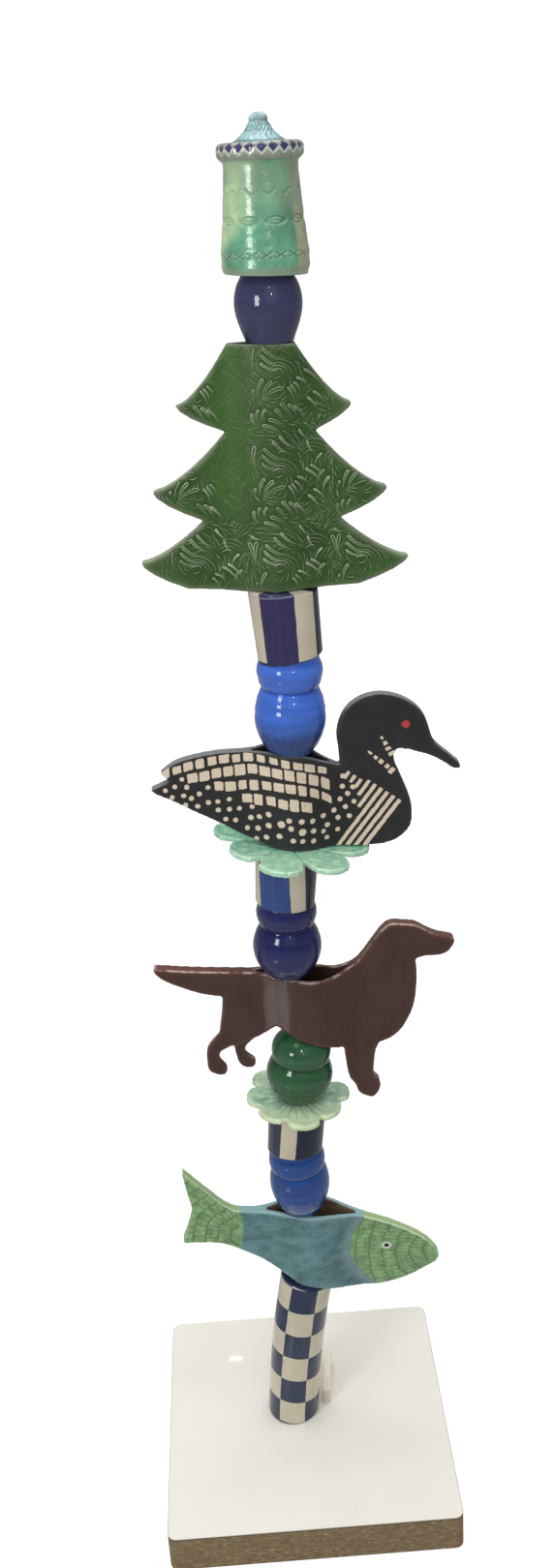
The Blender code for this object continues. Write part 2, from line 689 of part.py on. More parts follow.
def make_block(group):
    """The wood block that lies on the board just behind the column's right side."""
    lean = math.radians(COLUMN_LEAN)
    column_side = POLE_X + COLUMN_DIAMETER / 2 / math.cos(lean) + BLOCK_HEIGHT * math.tan(lean)
    size = (BLOCK_WIDTH, BLOCK_LENGTH, BLOCK_HEIGHT)
    block = mesh_object("wood_block", box_mesh("wood_block", size, [length / 2 for length in size]))
    turn = Matrix.Rotation(math.radians(BLOCK_TURN), 4, "Z")
    corner = (column_side + BLOCK_CLEARANCE, POLE_Y, BOARD_THICKNESS + GAP)
    block.matrix_world = Matrix.Translation(corner) @ turn
    soften(block, 0.0008, 1)
    finish_piece(block, "wood", group)


def stack_seats():
    """Every seat from the board to under the finial, in order."""
    seats = {"column": Seat((POLE_X, POLE_Y, BOARD_THICKNESS + GAP / 2))}
    seats["fish"] = seats["column"].above(COLUMN_HEIGHT, COLUMN_LEAN, COLUMN_TOP_TILT)
    seats["blue_bead"] = figure_top(
        seats["fish"], FISH_OUTLINE, FISH_LENGTH, FISH_SHIFT, FISH_SINK, FISH_TOP_TILT)
    seats["low_cylinder"] = seats["blue_bead"].above(
        BLUE_BEAD_HEIGHT, BLUE_BEAD_LEAN, BLUE_BEAD_TOP_TILT, BLUE_BEAD_TOP_PITCH)
    seats["low_flower"] = seats["low_cylinder"].above(
        LOW_CYLINDER_HEIGHT, LOW_CYLINDER_LEAN, LOW_CYLINDER_TOP_TILT)
    seats["green_bead"] = over_flower(seats["low_flower"], LOW_FLOWER_THICKNESS)
    seats["dog"] = seats["green_bead"].above(GREEN_BEAD_HEIGHT, GREEN_BEAD_LEAN, GREEN_BEAD_TOP_TILT)
    seats["navy_bead"] = figure_top(
        seats["dog"], DOG_OUTLINE, DOG_LENGTH, DOG_SHIFT, DOG_SINK, DOG_TOP_TILT)
    seats["middle_cylinder"] = seats["navy_bead"].above(NAVY_BEAD_HEIGHT, NAVY_BEAD_LEAN, NAVY_BEAD_TOP_TILT)
    seats["top_flower"] = seats["middle_cylinder"].above(
        MIDDLE_CYLINDER_HEIGHT, MIDDLE_CYLINDER_LEAN, MIDDLE_CYLINDER_TOP_TILT)
    seats["loon"] = over_flower(seats["top_flower"], TOP_FLOWER_THICKNESS)
    seats["sky_bead"] = figure_top(
        seats["loon"], LOON_OUTLINE, LOON_LENGTH, LOON_SHIFT, LOON_SINK, LOON_TOP_TILT)
    seats["top_cylinder"] = seats["sky_bead"].above(SKY_BEAD_HEIGHT, SKY_BEAD_LEAN, SKY_BEAD_TOP_TILT)
    seats["tree"] = seats["top_cylinder"].above(
        TOP_CYLINDER_HEIGHT, TOP_CYLINDER_LEAN, TOP_CYLINDER_TOP_TILT)
    seats["cobalt_bead"] = seats["tree"].above(TREE_HEIGHT, TREE_LEAN, TREE_TOP_TILT)
    seats["finial"] = seats["cobalt_bead"].above(COBALT_BEAD_HEIGHT, COBALT_BEAD_LEAN, COBALT_BEAD_TOP_TILT)
    seats["sky"] = seats["finial"].above(FINIAL_HEIGHT)
    return seats


def back_height(outline, along):
    """How high a figure's back is at a place along it, the highest of its outline there."""
    heights = []
    for (x1, z1, _), (x2, z2, _) in zip(outline, outline[1:] + outline[:1]):
        if x1 != x2 and min(x1, x2) <= along <= max(x1, x2):
            heights.append(z1 + (z2 - z1) * (along - x1) / (x2 - x1))
    return max(heights)


def figure_top(seat, outline, length, shift, sink, tilt):
    """The seat on a figure's back, from the one under its belly."""
    rise = back_height(outline, shift) * length - sink
    return Seat(seat.point + Vector((shift * length, 0.0, rise)), tilt)


def over_flower(seat, thickness):
    """The seat on a flower, parallel to the one under it."""
    return Seat(seat.frame(thickness).to_translation(), seat.tilt, seat.pitch)


def turned_forms(seats):
    """Each turned piece: its profile and the seats it stands between."""
    def straight(foot, head, low, high):
        return [(foot / 2, 0.0), (head / 2, (high.point - low.point).length)]

    beads = {
        "blue_bead": double_bead_profile(
            BLUE_BEAD_HEIGHT, BLUE_BEAD_FOOT, BLUE_BEAD_BELLY, BLUE_BEAD_WAIST,
            BLUE_BEAD_SHOULDER, BLUE_BEAD_NECK, BLUE_BEAD_LEVELS),
        "green_bead": double_bead_profile(
            GREEN_BEAD_HEIGHT, GREEN_BEAD_FOOT, GREEN_BEAD_BELLY, GREEN_BEAD_WAIST,
            GREEN_BEAD_SHOULDER, GREEN_BEAD_NECK, GREEN_BEAD_LEVELS),
        "navy_bead": double_bead_profile(
            NAVY_BEAD_HEIGHT, NAVY_BEAD_FOOT, NAVY_BEAD_BELLY, NAVY_BEAD_WAIST,
            NAVY_BEAD_SHOULDER, NAVY_BEAD_NECK, NAVY_BEAD_LEVELS),
        "sky_bead": double_bead_profile(
            SKY_BEAD_HEIGHT, SKY_BEAD_FOOT, SKY_BEAD_BELLY, SKY_BEAD_WAIST,
            SKY_BEAD_SHOULDER, SKY_BEAD_NECK, SKY_BEAD_LEVELS),
        "cobalt_bead": single_bead_profile(
            COBALT_BEAD_HEIGHT, COBALT_BEAD_FOOT, COBALT_BEAD_BELLY, COBALT_BEAD_NECK,
            COBALT_BEAD_LEVEL),
    }
    return {
        "blue_bead": (beads["blue_bead"], "blue_bead", "low_cylinder"),
        "low_cylinder": (straight(LOW_CYLINDER_FOOT, LOW_CYLINDER_HEAD,
                                  seats["low_cylinder"], seats["low_flower"]),
                         "low_cylinder", "low_flower"),
        "green_bead": (beads["green_bead"], "green_bead", "dog"),
        "navy_bead": (beads["navy_bead"], "navy_bead", "middle_cylinder"),
        "middle_cylinder": (straight(MIDDLE_CYLINDER_FOOT, MIDDLE_CYLINDER_HEAD,
                                     seats["middle_cylinder"], seats["top_flower"]),
                            "middle_cylinder", "top_flower"),
        "sky_bead": (beads["sky_bead"], "sky_bead", "top_cylinder"),
        "top_cylinder": (straight(TOP_CYLINDER_FOOT, TOP_CYLINDER_HEAD,
                                  seats["top_cylinder"], seats["tree"]),
                         "top_cylinder", "tree"),
        "cobalt_bead": (beads["cobalt_bead"], "cobalt_bead", "finial"),
        "finial": (finial_profile(), "finial", "sky"),
    }


# Node name and glaze of each turned piece
TURNED_FINISH = {
    "blue_bead": ("blue_bead", "blue"),
    "low_cylinder": ("lower_striped_cylinder", "stripes"),
    "green_bead": ("green_bead", "green"),
    "navy_bead": ("navy_bead", "navy"),
    "middle_cylinder": ("middle_striped_cylinder", "stripes"),
    "sky_bead": ("sky_blue_bead", "sky"),
    "top_cylinder": ("upper_striped_cylinder", "stripes"),
    "cobalt_bead": ("cobalt_bead", "cobalt"),
    "finial": ("finial", "moss"),
}


def make_turned(group, tools, seats):
    """The column, the beads, the striped cylinders and the finial."""
    column = column_form("checked_column", seats, tools)
    soften(column, COLUMN_RIM, 2)
    finish_piece(column, "checks", group)
    for key, (profile, low, high) in turned_forms(seats).items():
        node, finish = TURNED_FINISH[key]
        piece = turned(node, profile, seats[low], seats[high], tools)
        finish_piece(piece, finish, group)


def grown(key, owner, seats, tools):
    """A neighbour swollen by the gap, to cut the figure that it touches."""
    profile, low, high = turned_forms(seats)[key]
    return turned(f"{owner}_clear_of_{key}", profile, seats[low], seats[high], tools, GAP)


def flower_bed(owner, seat, reach, tools):
    """The room that a flower takes under a figure."""
    depth = 0.02
    bed = box_mesh(owner + "_bed", (2 * reach, 2 * reach, depth), (0.0, 0.0, -depth / 2))
    room = mesh_object(owner + "_bed", bed)
    room.matrix_world = seat.frame(GAP / 2)
    return room


def make_flowers(group, tools, seats):
    low = flower("lower_flower", LOW_FLOWER_PETALS, LOW_FLOWER_NOTCH,
                 LOW_FLOWER_THICKNESS, seats["low_flower"], tools)
    finish_piece(low, "celadon", group)
    top = flower("upper_flower", TOP_FLOWER_PETALS, TOP_FLOWER_NOTCH,
                 TOP_FLOWER_THICKNESS, seats["top_flower"], tools)
    finish_piece(top, "celadon", group)


def make_fish(group, tools, seats):
    seat = seats["fish"]
    side = FISH_DEPTH
    fish = slab_prism("fish", FISH_OUTLINE, FISH_LENGTH, seat, tools, -side, side, steps=3)
    hollow_out(fish, seat, FISH_LENGTH, FISH_SWELL_AT * FISH_LENGTH, FISH_SWELL,
               FISH_DEPTH, FISH_END, tools)
    rest_between(fish, column_form("fish_clear_of_column", seats, tools, GAP),
                 grown("blue_bead", "fish", seats, tools), tools)
    finish_piece(fish, "teal", group)


def make_dog(group, tools, seats):
    seat = seats["dog"]
    side = DOG_DEPTH
    leg_side = side + OVERRUN
    dog = slab_prism("dog", DOG_OUTLINE, DOG_LENGTH, seat, tools, -side, side)
    legs = (
        ("near_hind_leg", DOG_NEAR_HIND_LEG, -leg_side, LEG_LAP),
        ("far_hind_leg", DOG_FAR_HIND_LEG, -LEG_LAP, leg_side),
        ("forelegs", DOG_FORELEG, -leg_side, leg_side),
    )
    for name, outline, near, far in legs:
        leg = slab_prism("dog_" + name, outline, DOG_LENGTH, seat, tools, near, far)
        cutter(leg, tools)
        boolean(dog, leg, "UNION")
    hollow_out(dog, seat, DOG_LENGTH, DOG_SWELL_AT * DOG_LENGTH, DOG_SWELL, DOG_DEPTH, DOG_END, tools)
    rest_between(dog, grown("green_bead", "dog", seats, tools), grown("navy_bead", "dog", seats, tools), tools)
    finish_piece(dog, "brown", group)


def make_loon(group, tools, seats):
    seat = seats["loon"]
    side = LOON_DEPTH
    loon = slab_prism("loon", LOON_OUTLINE, LOON_LENGTH, seat, tools, -side, side)
    hollow_out(loon, seat, LOON_LENGTH, LOON_SWELL_AT * LOON_LENGTH, LOON_SWELL,
               LOON_DEPTH, LOON_END, tools)
    reach = OVERRUN + max(reach for direction, reach in TOP_FLOWER_PETALS)
    rest_between(loon, flower_bed("loon", seat, reach, tools),
                 grown("sky_bead", "loon", seats, tools), tools)
    finish_piece(loon, "black", group)


def make_tree(group, tools, seats):
    seat = seats["tree"]
    middle = Seat(seat.point + Vector((TREE_SHIFT, 0.0, 0.0)))
    side = TREE_DEPTH
    tree = slab_prism("tree", tree_ring(), 1.0, middle, tools, -side, side,
                      smooth=False, turn=TREE_TOP_TILT)
    hollow_out(tree, middle, 2 * TREE_HEIGHT, 0.0, TREE_SWELL, TREE_DEPTH, TREE_END, tools,
               turn=TREE_TOP_TILT)
    rest_between(tree, grown("top_cylinder", "tree", seats, tools),
                 grown("cobalt_bead", "tree", seats, tools), tools)
    finish_piece(tree, "leaf", group)


def main():
    wipe_scene()
    group = new_collection(NAME)
    tools = new_collection("cutters")
    seats = stack_seats()
    make_board(group, tools)
    make_block(group)
    make_turned(group, tools, seats)
    make_flowers(group, tools, seats)
    make_fish(group, tools, seats)
    make_dog(group, tools, seats)
    make_loon(group, tools, seats)
    make_tree(group, tools, seats)


main()
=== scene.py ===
"""Garden totem pole: glazes, painted patterns and stamped clay for a stack of stoneware.

Lengths are in metres, +X runs to the noses of the animals and -Y is the side that is looked at.
Patterns are laid out in millimetres, because that is how a potter would measure them.
"""
import math
import random
from functools import reduce

import bmesh
import bpy
import numpy as np
from bpy.props import FloatProperty, FloatVectorProperty, IntProperty, PointerProperty
from mathutils import Matrix, Vector, noise
from mathutils.bvhtree import BVHTree
from mathutils.kdtree import KDTree


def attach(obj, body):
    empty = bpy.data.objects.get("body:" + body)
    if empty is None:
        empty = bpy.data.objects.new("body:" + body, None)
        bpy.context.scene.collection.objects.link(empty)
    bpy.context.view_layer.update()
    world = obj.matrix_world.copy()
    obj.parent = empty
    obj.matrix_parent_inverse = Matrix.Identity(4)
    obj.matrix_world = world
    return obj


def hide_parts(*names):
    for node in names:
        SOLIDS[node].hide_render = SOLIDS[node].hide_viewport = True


bl_info = {
    "name": "Garden Totem Pole",
    "version": (1, 0, 0),
    "blender": (4, 5, 0),
    "location": "3D View > Sidebar > Totem",
    "description": "Builds the glazed pieces of a garden totem pole over its solids",
    "category": "Add Mesh",
}

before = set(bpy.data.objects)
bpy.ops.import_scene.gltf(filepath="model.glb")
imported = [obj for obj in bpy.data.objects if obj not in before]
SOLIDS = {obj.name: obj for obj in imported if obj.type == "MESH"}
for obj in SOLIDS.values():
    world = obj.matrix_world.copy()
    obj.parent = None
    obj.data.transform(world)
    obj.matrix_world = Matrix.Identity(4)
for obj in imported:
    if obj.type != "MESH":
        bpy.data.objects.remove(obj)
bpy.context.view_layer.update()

MM = 0.001
POLE_Y = 0.012                # the pole's middle, front to back
COLUMN_RADIUS = 0.02825
COLUMN_BOW = 0.0030           # how far its middle bends to the left
BOARD_TOP = 43.0              # in mm
LOON_SEAT = (15.2, 741.2)     # where the patterns of each figure start, in mm
FISH_SEAT = (9.9, 228.2)
TREE_SEAT = (16.0, 987.6)
LOON_EYE = (113.6, 112.4)     # from the figure's own seat, in mm
FISH_EYE = (86.4, 35.5)


# ---------------------------------------------------------------- sizes and colours

def swatch(label, text, red, green, blue):
    return FloatVectorProperty(
        name=label, description=text, subtype="COLOR", size=3, min=0.0, max=1.0,
        default=(red, green, blue))


def length(label, text, value):
    return FloatProperty(
        name=label, description=text, default=value, min=0.0, subtype="DISTANCE", unit="LENGTH")


def power(label, text, value):
    return FloatProperty(
        name=label, description=text, default=value, min=0.0, subtype="POWER", unit="POWER")


class TotemGlazes(bpy.types.PropertyGroup):
    """Colours of the glazes, the slip and the board."""

    cream: swatch("Cream", "Bare glaze of the checks and stripes", 0.6, 0.54, 0.42)
    check_blue: swatch("Check blue", "Dark checks of the column", 0.014, 0.026, 0.07)
    indigo: swatch("Indigo", "Dark stripes of the upper cylinder", 0.018, 0.014, 0.082)
    royal: swatch("Royal blue", "Blue stripes of the middle cylinder", 0.014, 0.054, 0.215)
    ink: swatch("Ink", "Dark stripes of the lower cylinder", 0.01, 0.02, 0.05)
    lake_blue: swatch("Lake blue", "Double bead over the fish", 0.006, 0.058, 0.27)
    pine: swatch("Pine green", "Double bead under the dog", 0.016, 0.092, 0.030)
    navy: swatch("Navy", "Double bead over the dog", 0.006, 0.008, 0.1)
    sky: swatch("Sky blue", "Double bead over the loon", 0.052, 0.17, 0.72)
    cobalt: swatch("Cobalt", "Round bead under the finial", 0.036, 0.038, 0.115)
    celadon: swatch("Celadon", "Upper flower", 0.27, 0.58, 0.38)
    pale_celadon: swatch("Pale celadon", "Lower flower", 0.5, 0.68, 0.48)
    teal: swatch("Teal", "Body of the fish", 0.08, 0.2, 0.215)
    reed: swatch("Reed green", "Head and tail of the fish", 0.20, 0.355, 0.160)
    chestnut: swatch("Chestnut", "The dog", 0.056, 0.023, 0.018)
    slip: swatch("Black slip", "The loon", 0.026, 0.026, 0.028)
    buff: swatch("Buff", "Bare clay marks on the loon", 0.7, 0.58, 0.44)
    leaf: swatch("Leaf green", "The tree", 0.052, 0.112, 0.034)
    moss: swatch("Moss", "Left side of the finial", 0.56, 0.78, 0.46)
    sea: swatch("Sea green", "Front of the finial", 0.115, 0.33, 0.2)
    olive: swatch("Olive", "Right side of the finial", 0.36, 0.41, 0.25)
    roof: swatch("Roof", "Roof and knob of the finial", 0.29, 0.5, 0.52)
    clay: swatch("Clay", "Unglazed insides", 0.19, 0.125, 0.078)
    laminate: swatch("Laminate", "Top of the board", 0.86, 0.835, 0.765)
    chip: swatch("Chipboard", "Sides of the board", 0.27, 0.185, 0.095)
    pinewood: swatch("Pine wood", "The loose block", 0.92, 0.87, 0.74)


class TotemClay(bpy.types.PropertyGroup):
    """How the clay was worked."""

    grain: length("Grain", "Size of the facets that the figures are rounded with", 0.0013)
    soft_edge: length("Soft edge", "Radius worn on the ends of turned pieces", 0.0011)
    throwing: length("Throwing rings", "Depth of the finger rings on turned pieces", 0.00022)
    stroke: length("Tree strokes", "How proud the strokes on the tree stand", 0.00045)
    stamp: length("Fish stamps", "How deep the scales are pressed", 0.00055)
    vein: length("Petal veins", "How deep the petals are sunk and veined", 0.0008)
    columns: IntProperty(
        name="Columns", description="Facets round a turned piece", default=96, min=24, max=256)


class TotemStudio(bpy.types.PropertyGroup):
    """Floor, light and camera."""

    key: power("Window", "Power of the window on the left", 15.0)
    fill: power("Front", "Power of the soft light in front", 6.0)
    spark: power("Lamps", "Power of each of the two small lamps in front", 1.6)
    sky: FloatProperty(name="Room", description="Light of the white room", default=0.62, min=0.0)
    shine: FloatProperty(
        name="Room in the glaze", description="How bright the glazes mirror the room",
        default=0.22,
        min=0.0)
    lens: FloatProperty(
        name="Lens", description="Focal length of the camera", default=33.33, min=1.0,
        subtype="DISTANCE_CAMERA", unit="CAMERA")
    floor: swatch("Floor", "Colour of the floor", 0.46, 0.455, 0.44)


def glazes():
    return bpy.context.scene.totem_glazes


def clay():
    return bpy.context.scene.totem_clay


# ---------------------------------------------------------------- writing shaders as sums

class Signal:
    """One value in a shader, so that a pattern can be written as a sum."""

    def __init__(self, tree, socket):
        self.tree = tree
        self.socket = socket

    def math(self, kind, *others, clamp=False):
        node = self.tree.nodes.new("ShaderNodeMath")
        node.operation = kind
        node.use_clamp = clamp
        for entry, value in zip(node.inputs, (self,) + others):
            feed(self.tree, value, entry)
        return Signal(self.tree, node.outputs[0])

    def __add__(self, other):
        return self.math("ADD", other)

    def __radd__(self, other):
        return self.math("ADD", other)

    def __sub__(self, other):
        return self.math("SUBTRACT", other)

    def __rsub__(self, other):
        return self.math("MULTIPLY_ADD", -1.0, other)

    def __mul__(self, other):
        return self.math("MULTIPLY", other)

    def __truediv__(self, other):
        return self.math("DIVIDE", other)

    def __abs__(self):
        return self.math("ABSOLUTE")

    def least(self, other):
        return self.math("MINIMUM", other)

    def most(self, other):
        return self.math("MAXIMUM", other)

    def between(self, low, high):
        """The value low where this mask is 0, and high where it is 1."""
        return self * (high - low) + low

    def over(self, edge, soft=0.2):
        """0 below an edge and 1 above it, with a soft step between."""
        node = self.tree.nodes.new("ShaderNodeMapRange")
        node.interpolation_type = "SMOOTHSTEP"
        node.clamp = True
        feed(self.tree, self, node.inputs["Value"])
        feed(self.tree, edge - soft, node.inputs["From Min"])
        feed(self.tree, edge + soft, node.inputs["From Max"])
        return Signal(self.tree, node.outputs["Result"])

    def under(self, edge, soft=0.2):
        return 1.0 - self.over(edge, soft)


def feed(tree, value, entry):
    """Join a signal to an input, or set the input's own value."""
    if isinstance(value, Signal):
        tree.links.new(value.socket, entry)
    elif entry.type == "RGBA":
        entry.default_value = (value[0], value[1], value[2], 1.0)
    else:
        entry.default_value = value


class Shade:
    """Short ways to add nodes to a shader."""

    def __init__(self, tree):
        self.tree = tree

    def node(self, kind, inputs=(), out=0, **settings):
        made = self.tree.nodes.new("ShaderNode" + kind)
        for name, value in settings.items():
            setattr(made, name, value)
        for name, value in dict(inputs).items():
            feed(self.tree, value, made.inputs[name])
        return Signal(self.tree, made.outputs[out])

    def group(self, effect, **inputs):
        """Place a shared effect. Returns its outputs by name."""
        made = self.tree.nodes.new("ShaderNodeGroup")
        made.node_tree = shared(effect)
        for name, value in inputs.items():
            feed(self.tree, value, made.inputs[name])
        return {socket.name: Signal(self.tree, socket) for socket in made.outputs}

    def stray(self, reach, scale):
        """How far a hand-drawn line strays here, in mm."""
        return self.group("Hand line", Reach=reach, Scale=scale)["Stray"]

    def pits(self, spacing, size, share):
        return self.group("Pinholes", Spacing=spacing, Size=size, Share=share)["Pit"]

    def split(self, vector):
        made = self.tree.nodes.new("ShaderNodeSeparateXYZ")
        feed(self.tree, vector, made.inputs[0])
        return [Signal(self.tree, socket) for socket in made.outputs]

    def stretch(self, vector, scale):
        """Scale a place by a different amount along each axis, to draw a texture out."""
        return self.node("VectorMath", {0: vector, 1: scale}, operation="MULTIPLY")

    def place(self):
        """The point on the piece, in mm."""
        here = self.node("TexCoord", out="Object")
        return self.node("VectorMath", {0: here, 3: 1.0 / MM}, operation="SCALE")

    def facing(self):
        return self.split(self.node("NewGeometry", out="Normal"))

    def skin(self):
        """Round a turned piece in degrees from the front, and up it as a share."""
        around, up, _ = self.split(self.node("UVMap", uv_map="skin"))
        return (around - 0.5) * 360.0, up

    def mark(self, name):
        return self.node("Attribute", out="Fac", attribute_name=name)

    def noise(self, vector, scale, detail=3.0, roughness=0.55):
        return self.node("TexNoise", {
            "Vector": vector, "Scale": scale, "Detail": detail, "Roughness": roughness})

    def cells(self, vector, scale):
        """How far each point lies from the middle of its cell, and the cell's own colour."""
        middle = self.node("TexVoronoi", {"Vector": vector, "Scale": scale}, out="Distance")
        return middle, Signal(self.tree, middle.socket.node.outputs["Color"])

    def mix(self, mask, first, second, how="MIX"):
        """The first colour where the mask is 0 and the second where it is 1."""
        return self.node("Mix", {0: mask, 6: first, 7: second}, out=2, data_type="RGBA",
                         blend_type=how)

    def layers(self, colour, *coats):
        """Lay coats of (mask, colour) one over the other."""
        for mask, coat in coats:
            colour = self.mix(mask, colour, coat)
        return colour

    def curve(self, value, points):
        """A free curve through points, for a line that follows no simple law."""
        node = self.tree.nodes.new("ShaderNodeFloatCurve")
        low, high = points[0][0], points[-1][0]
        top = max(up for _, up in points)
        feed(self.tree, (value - low) / (high - low), node.inputs["Value"])
        line = node.mapping.curves[0]
        while len(line.points) < len(points):
            line.points.new(0.5, 0.5)
        for knot, (along, up) in zip(line.points, points):
            knot.location = ((along - low) / (high - low), up / top)
            knot.handle_type = "VECTOR"
        node.mapping.update()
        return Signal(self.tree, node.outputs["Value"]) * top


def new_group(name, inputs, outputs):
    """An empty shared effect, its inputs given as (name, kind, value)."""
    tree = bpy.data.node_groups.new(name, "ShaderNodeTree")
    for label, kind, value in inputs:
        socket = tree.interface.new_socket(label, in_out="INPUT", socket_type="NodeSocket" + kind)
        socket.default_value = value
    for label, kind in outputs:
        tree.interface.new_socket(label, in_out="OUTPUT", socket_type="NodeSocket" + kind)
    entry = tree.nodes.new("NodeGroupInput")
    leave = tree.nodes.new("NodeGroupOutput")
    given = {label: Signal(tree, entry.outputs[label]) for label, _, _ in inputs}

    def give(**values):
        for label, value in values.items():
            feed(tree, value, leave.inputs[label])
    return Shade(tree), given, give


GROUPS = {}


def shared(name):
    """A shared effect, built the first time it is asked for."""
    if name not in GROUPS:
        GROUPS[name] = EFFECTS[name](name)
    return GROUPS[name]


def kiln_glaze(name):
    """A glaze that pools dark in hollows, breaks pale on edges and clouds where it is thick."""
    shade, given, give = new_group(name, (
        ("Thin", "Color", (0.5, 0.5, 0.5, 1.0)), ("Thick", "Color", (0.2, 0.2, 0.2, 1.0)),
        ("Break", "Color", (0.7, 0.7, 0.7, 1.0)), ("Grain", "Vector", (0.05, 0.05, 0.05)),
        ("Cloud", "Float", 0.6), ("Rim", "Float", 0.6), ("Pool", "Float", 0.5),
        ("Gloss", "Float", 0.12)),
    (("Color", "Color"), ("Roughness", "Float"), ("Height", "Float")))
    here = shade.place()
    cloud = shade.noise(shade.stretch(here, given["Grain"]), 1.0, 5.0, 0.6)
    peel = shade.noise(here, 0.35, 2.0, 0.5)
    tone = ((cloud - 0.5) * given["Cloud"] * 3.0 + 0.5).math("ADD", 0.0, clamp=True)
    body = shade.mix(tone, given["Thin"], given["Thick"])
    broken = shade.mix(shade.mark("edge") * given["Rim"], body, given["Break"])
    pooled = shade.mix(shade.mark("groove") * given["Pool"], broken, given["Thick"], "MULTIPLY")
    give(Color=pooled, Roughness=given["Gloss"] + (peel - 0.5) * 0.08, Height=peel)
    return shade.tree


def hand_line(name):
    """How far a painted line strays, in mm."""
    shade, given, give = new_group(name, (
        ("Reach", "Float", 0.6), ("Scale", "Float", 0.12)), (("Stray", "Float"),))
    give(Stray=(shade.noise(shade.place(), given["Scale"], 2.0) - 0.5) * given["Reach"] * 2.0)
    return shade.tree


def pinholes(name):
    """Small dark pits burnt through a pale glaze, in some of the cells only."""
    shade, given, give = new_group(name, (
        ("Spacing", "Float", 9.0), ("Size", "Float", 0.6), ("Share", "Float", 0.4)),
        (("Pit", "Float"),))
    away, tint = shade.cells(shade.place(), given["Spacing"].math("POWER", -1.0))
    chance, size, _ = shade.split(tint)
    reach = given["Size"] / given["Spacing"] * size.between(0.4, 1.2)
    near = (away - reach).under(0.0, 0.02)
    give(Pit=near * chance.under(given["Share"], 0.01))
    return shade.tree


def stripe(name):
    """One painted stripe up a turned piece, in degrees from the front."""
    shade, given, give = new_group(name, (
        ("Around", "Float", 0.0), ("Middle", "Float", 0.0), ("Width", "Float", 30.0),
        ("Soft", "Float", 0.8)), (("Mask", "Float"),))
    turn = (given["Around"] - given["Middle"]).math("WRAP", 180.0, -180.0)
    give(Mask=abs(turn).under(given["Width"] * 0.5, given["Soft"]))
    return shade.tree


def row_of_marks(name):
    """A row of hand-cut rounded squares. Along and Across are in mm from the row's own line."""
    shade, given, give = new_group(name, (
        ("Along", "Float", 0.0), ("Across", "Float", 0.0), ("First", "Float", 0.0),
        ("Pitch", "Float", 12.0), ("Count", "Float", 10.0), ("Share", "Float", 0.7),
        ("Tall", "Float", 8.0), ("Seed", "Float", 1.0), ("Corner", "Float", 1.3)),
        (("Mask", "Float"),))
    count = (given["Along"] - given["First"]) / given["Pitch"]
    cell = count.math("FLOOR")
    chance = shade.node("TexWhiteNoise", {"W": cell + given["Seed"]}, out="Color",
                        noise_dimensions="1D")
    one, two, three = shade.split(chance)
    along = abs((count - cell - 0.5) * given["Pitch"] + (one - 0.5) * 0.9)
    across = abs(given["Across"] + (two - 0.5) * 1.2)
    half_width = given["Pitch"] * given["Share"] * 0.5 * three.between(0.85, 1.15)
    half_height = given["Tall"] * 0.5 * one.between(0.82, 1.12)
    corner = given["Corner"]
    beyond = (along - half_width + corner).most(0.0)
    above = (across - half_height + corner).most(0.0)
    away = (beyond * beyond + above * above).math("SQRT") - corner
    inside = (away + shade.stray(0.75, 0.38)).under(0.0, 0.22)
    there = cell.over(-0.5, 0.01) * cell.under(given["Count"] - 0.5, 0.01)
    give(Mask=inside * there)
    return shade.tree


def two_slabs(name):
    """Where a point lies on a figure made of two slabs."""
    shade, given, give = new_group(name, (("Middle", "Float", POLE_Y / MM),), (
        ("Outside", "Float"), ("Inside", "Float"), ("Edge", "Float"), ("Top", "Float")))
    _, y, _ = shade.split(shade.place())
    _, normal_y, normal_z = shade.facing()
    out = (y - given["Middle"]).math("SIGN") * normal_y
    give(Outside=out.over(0.55, 0.2), Inside=out.under(-0.55, 0.2),
         Edge=abs(out).under(0.6, 0.2), Top=normal_z.over(0.55, 0.2))
    return shade.tree


EFFECTS = {
    "Kiln glaze": kiln_glaze,
    "Hand line": hand_line,
    "Pinholes": pinholes,
    "Painted stripe": stripe,
    "Row of marks": row_of_marks,
    "Two slabs": two_slabs,
}


class Finish(Shade):
    """A material in the making."""

    def __init__(self, name, coat=0.0, coat_roughness=0.06, specular=0.5):
        self.material = bpy.data.materials.new(name)
        self.material.use_nodes = True
        super().__init__(self.material.node_tree)
        self.shader = self.tree.nodes["Principled BSDF"]
        self.shader.inputs["Coat Weight"].default_value = coat
        self.shader.inputs["Coat Roughness"].default_value = coat_roughness
        self.shader.inputs["Specular IOR Level"].default_value = specular

    def glaze(self, colour, pale, deep, broken, grain, **amounts):
        """The shared glaze, so many times paler where it is thin and darker where it is thick."""
        return self.group("Kiln glaze", Thin=richer(colour, pale), Thick=darker(colour, deep),
                          Break=broken, Grain=grain, **amounts)

    def wear(self, colour, roughness, height=None, depth=0.1):
        """Give the shader its colour and gloss, and bumps of a depth in mm."""
        feed(self.tree, colour, self.shader.inputs["Base Color"])
        feed(self.tree, roughness, self.shader.inputs["Roughness"])
        if height is not None:
            bump = self.node("Bump", {"Height": height, "Strength": 1.0, "Distance": depth * MM},
                             out="Normal")
            feed(self.tree, bump, self.shader.inputs["Normal"])
        return self.material


def lighter(colour, share, towards=(0.85, 0.85, 0.82)):
    return [a + (b - a) * share for a, b in zip(colour, towards)]


def darker(colour, share):
    return [a * share for a in colour]


def richer(colour, share):
    """Brighter without turning paler."""
    return [min(a * share, 0.92) for a in colour]


# ---------------------------------------------------------------- materials

EYE_WHITE = (0.80, 0.80, 0.74)
EYE_BLACK = (0.01, 0.01, 0.01)
EYE_RED = (0.50, 0.050, 0.060)


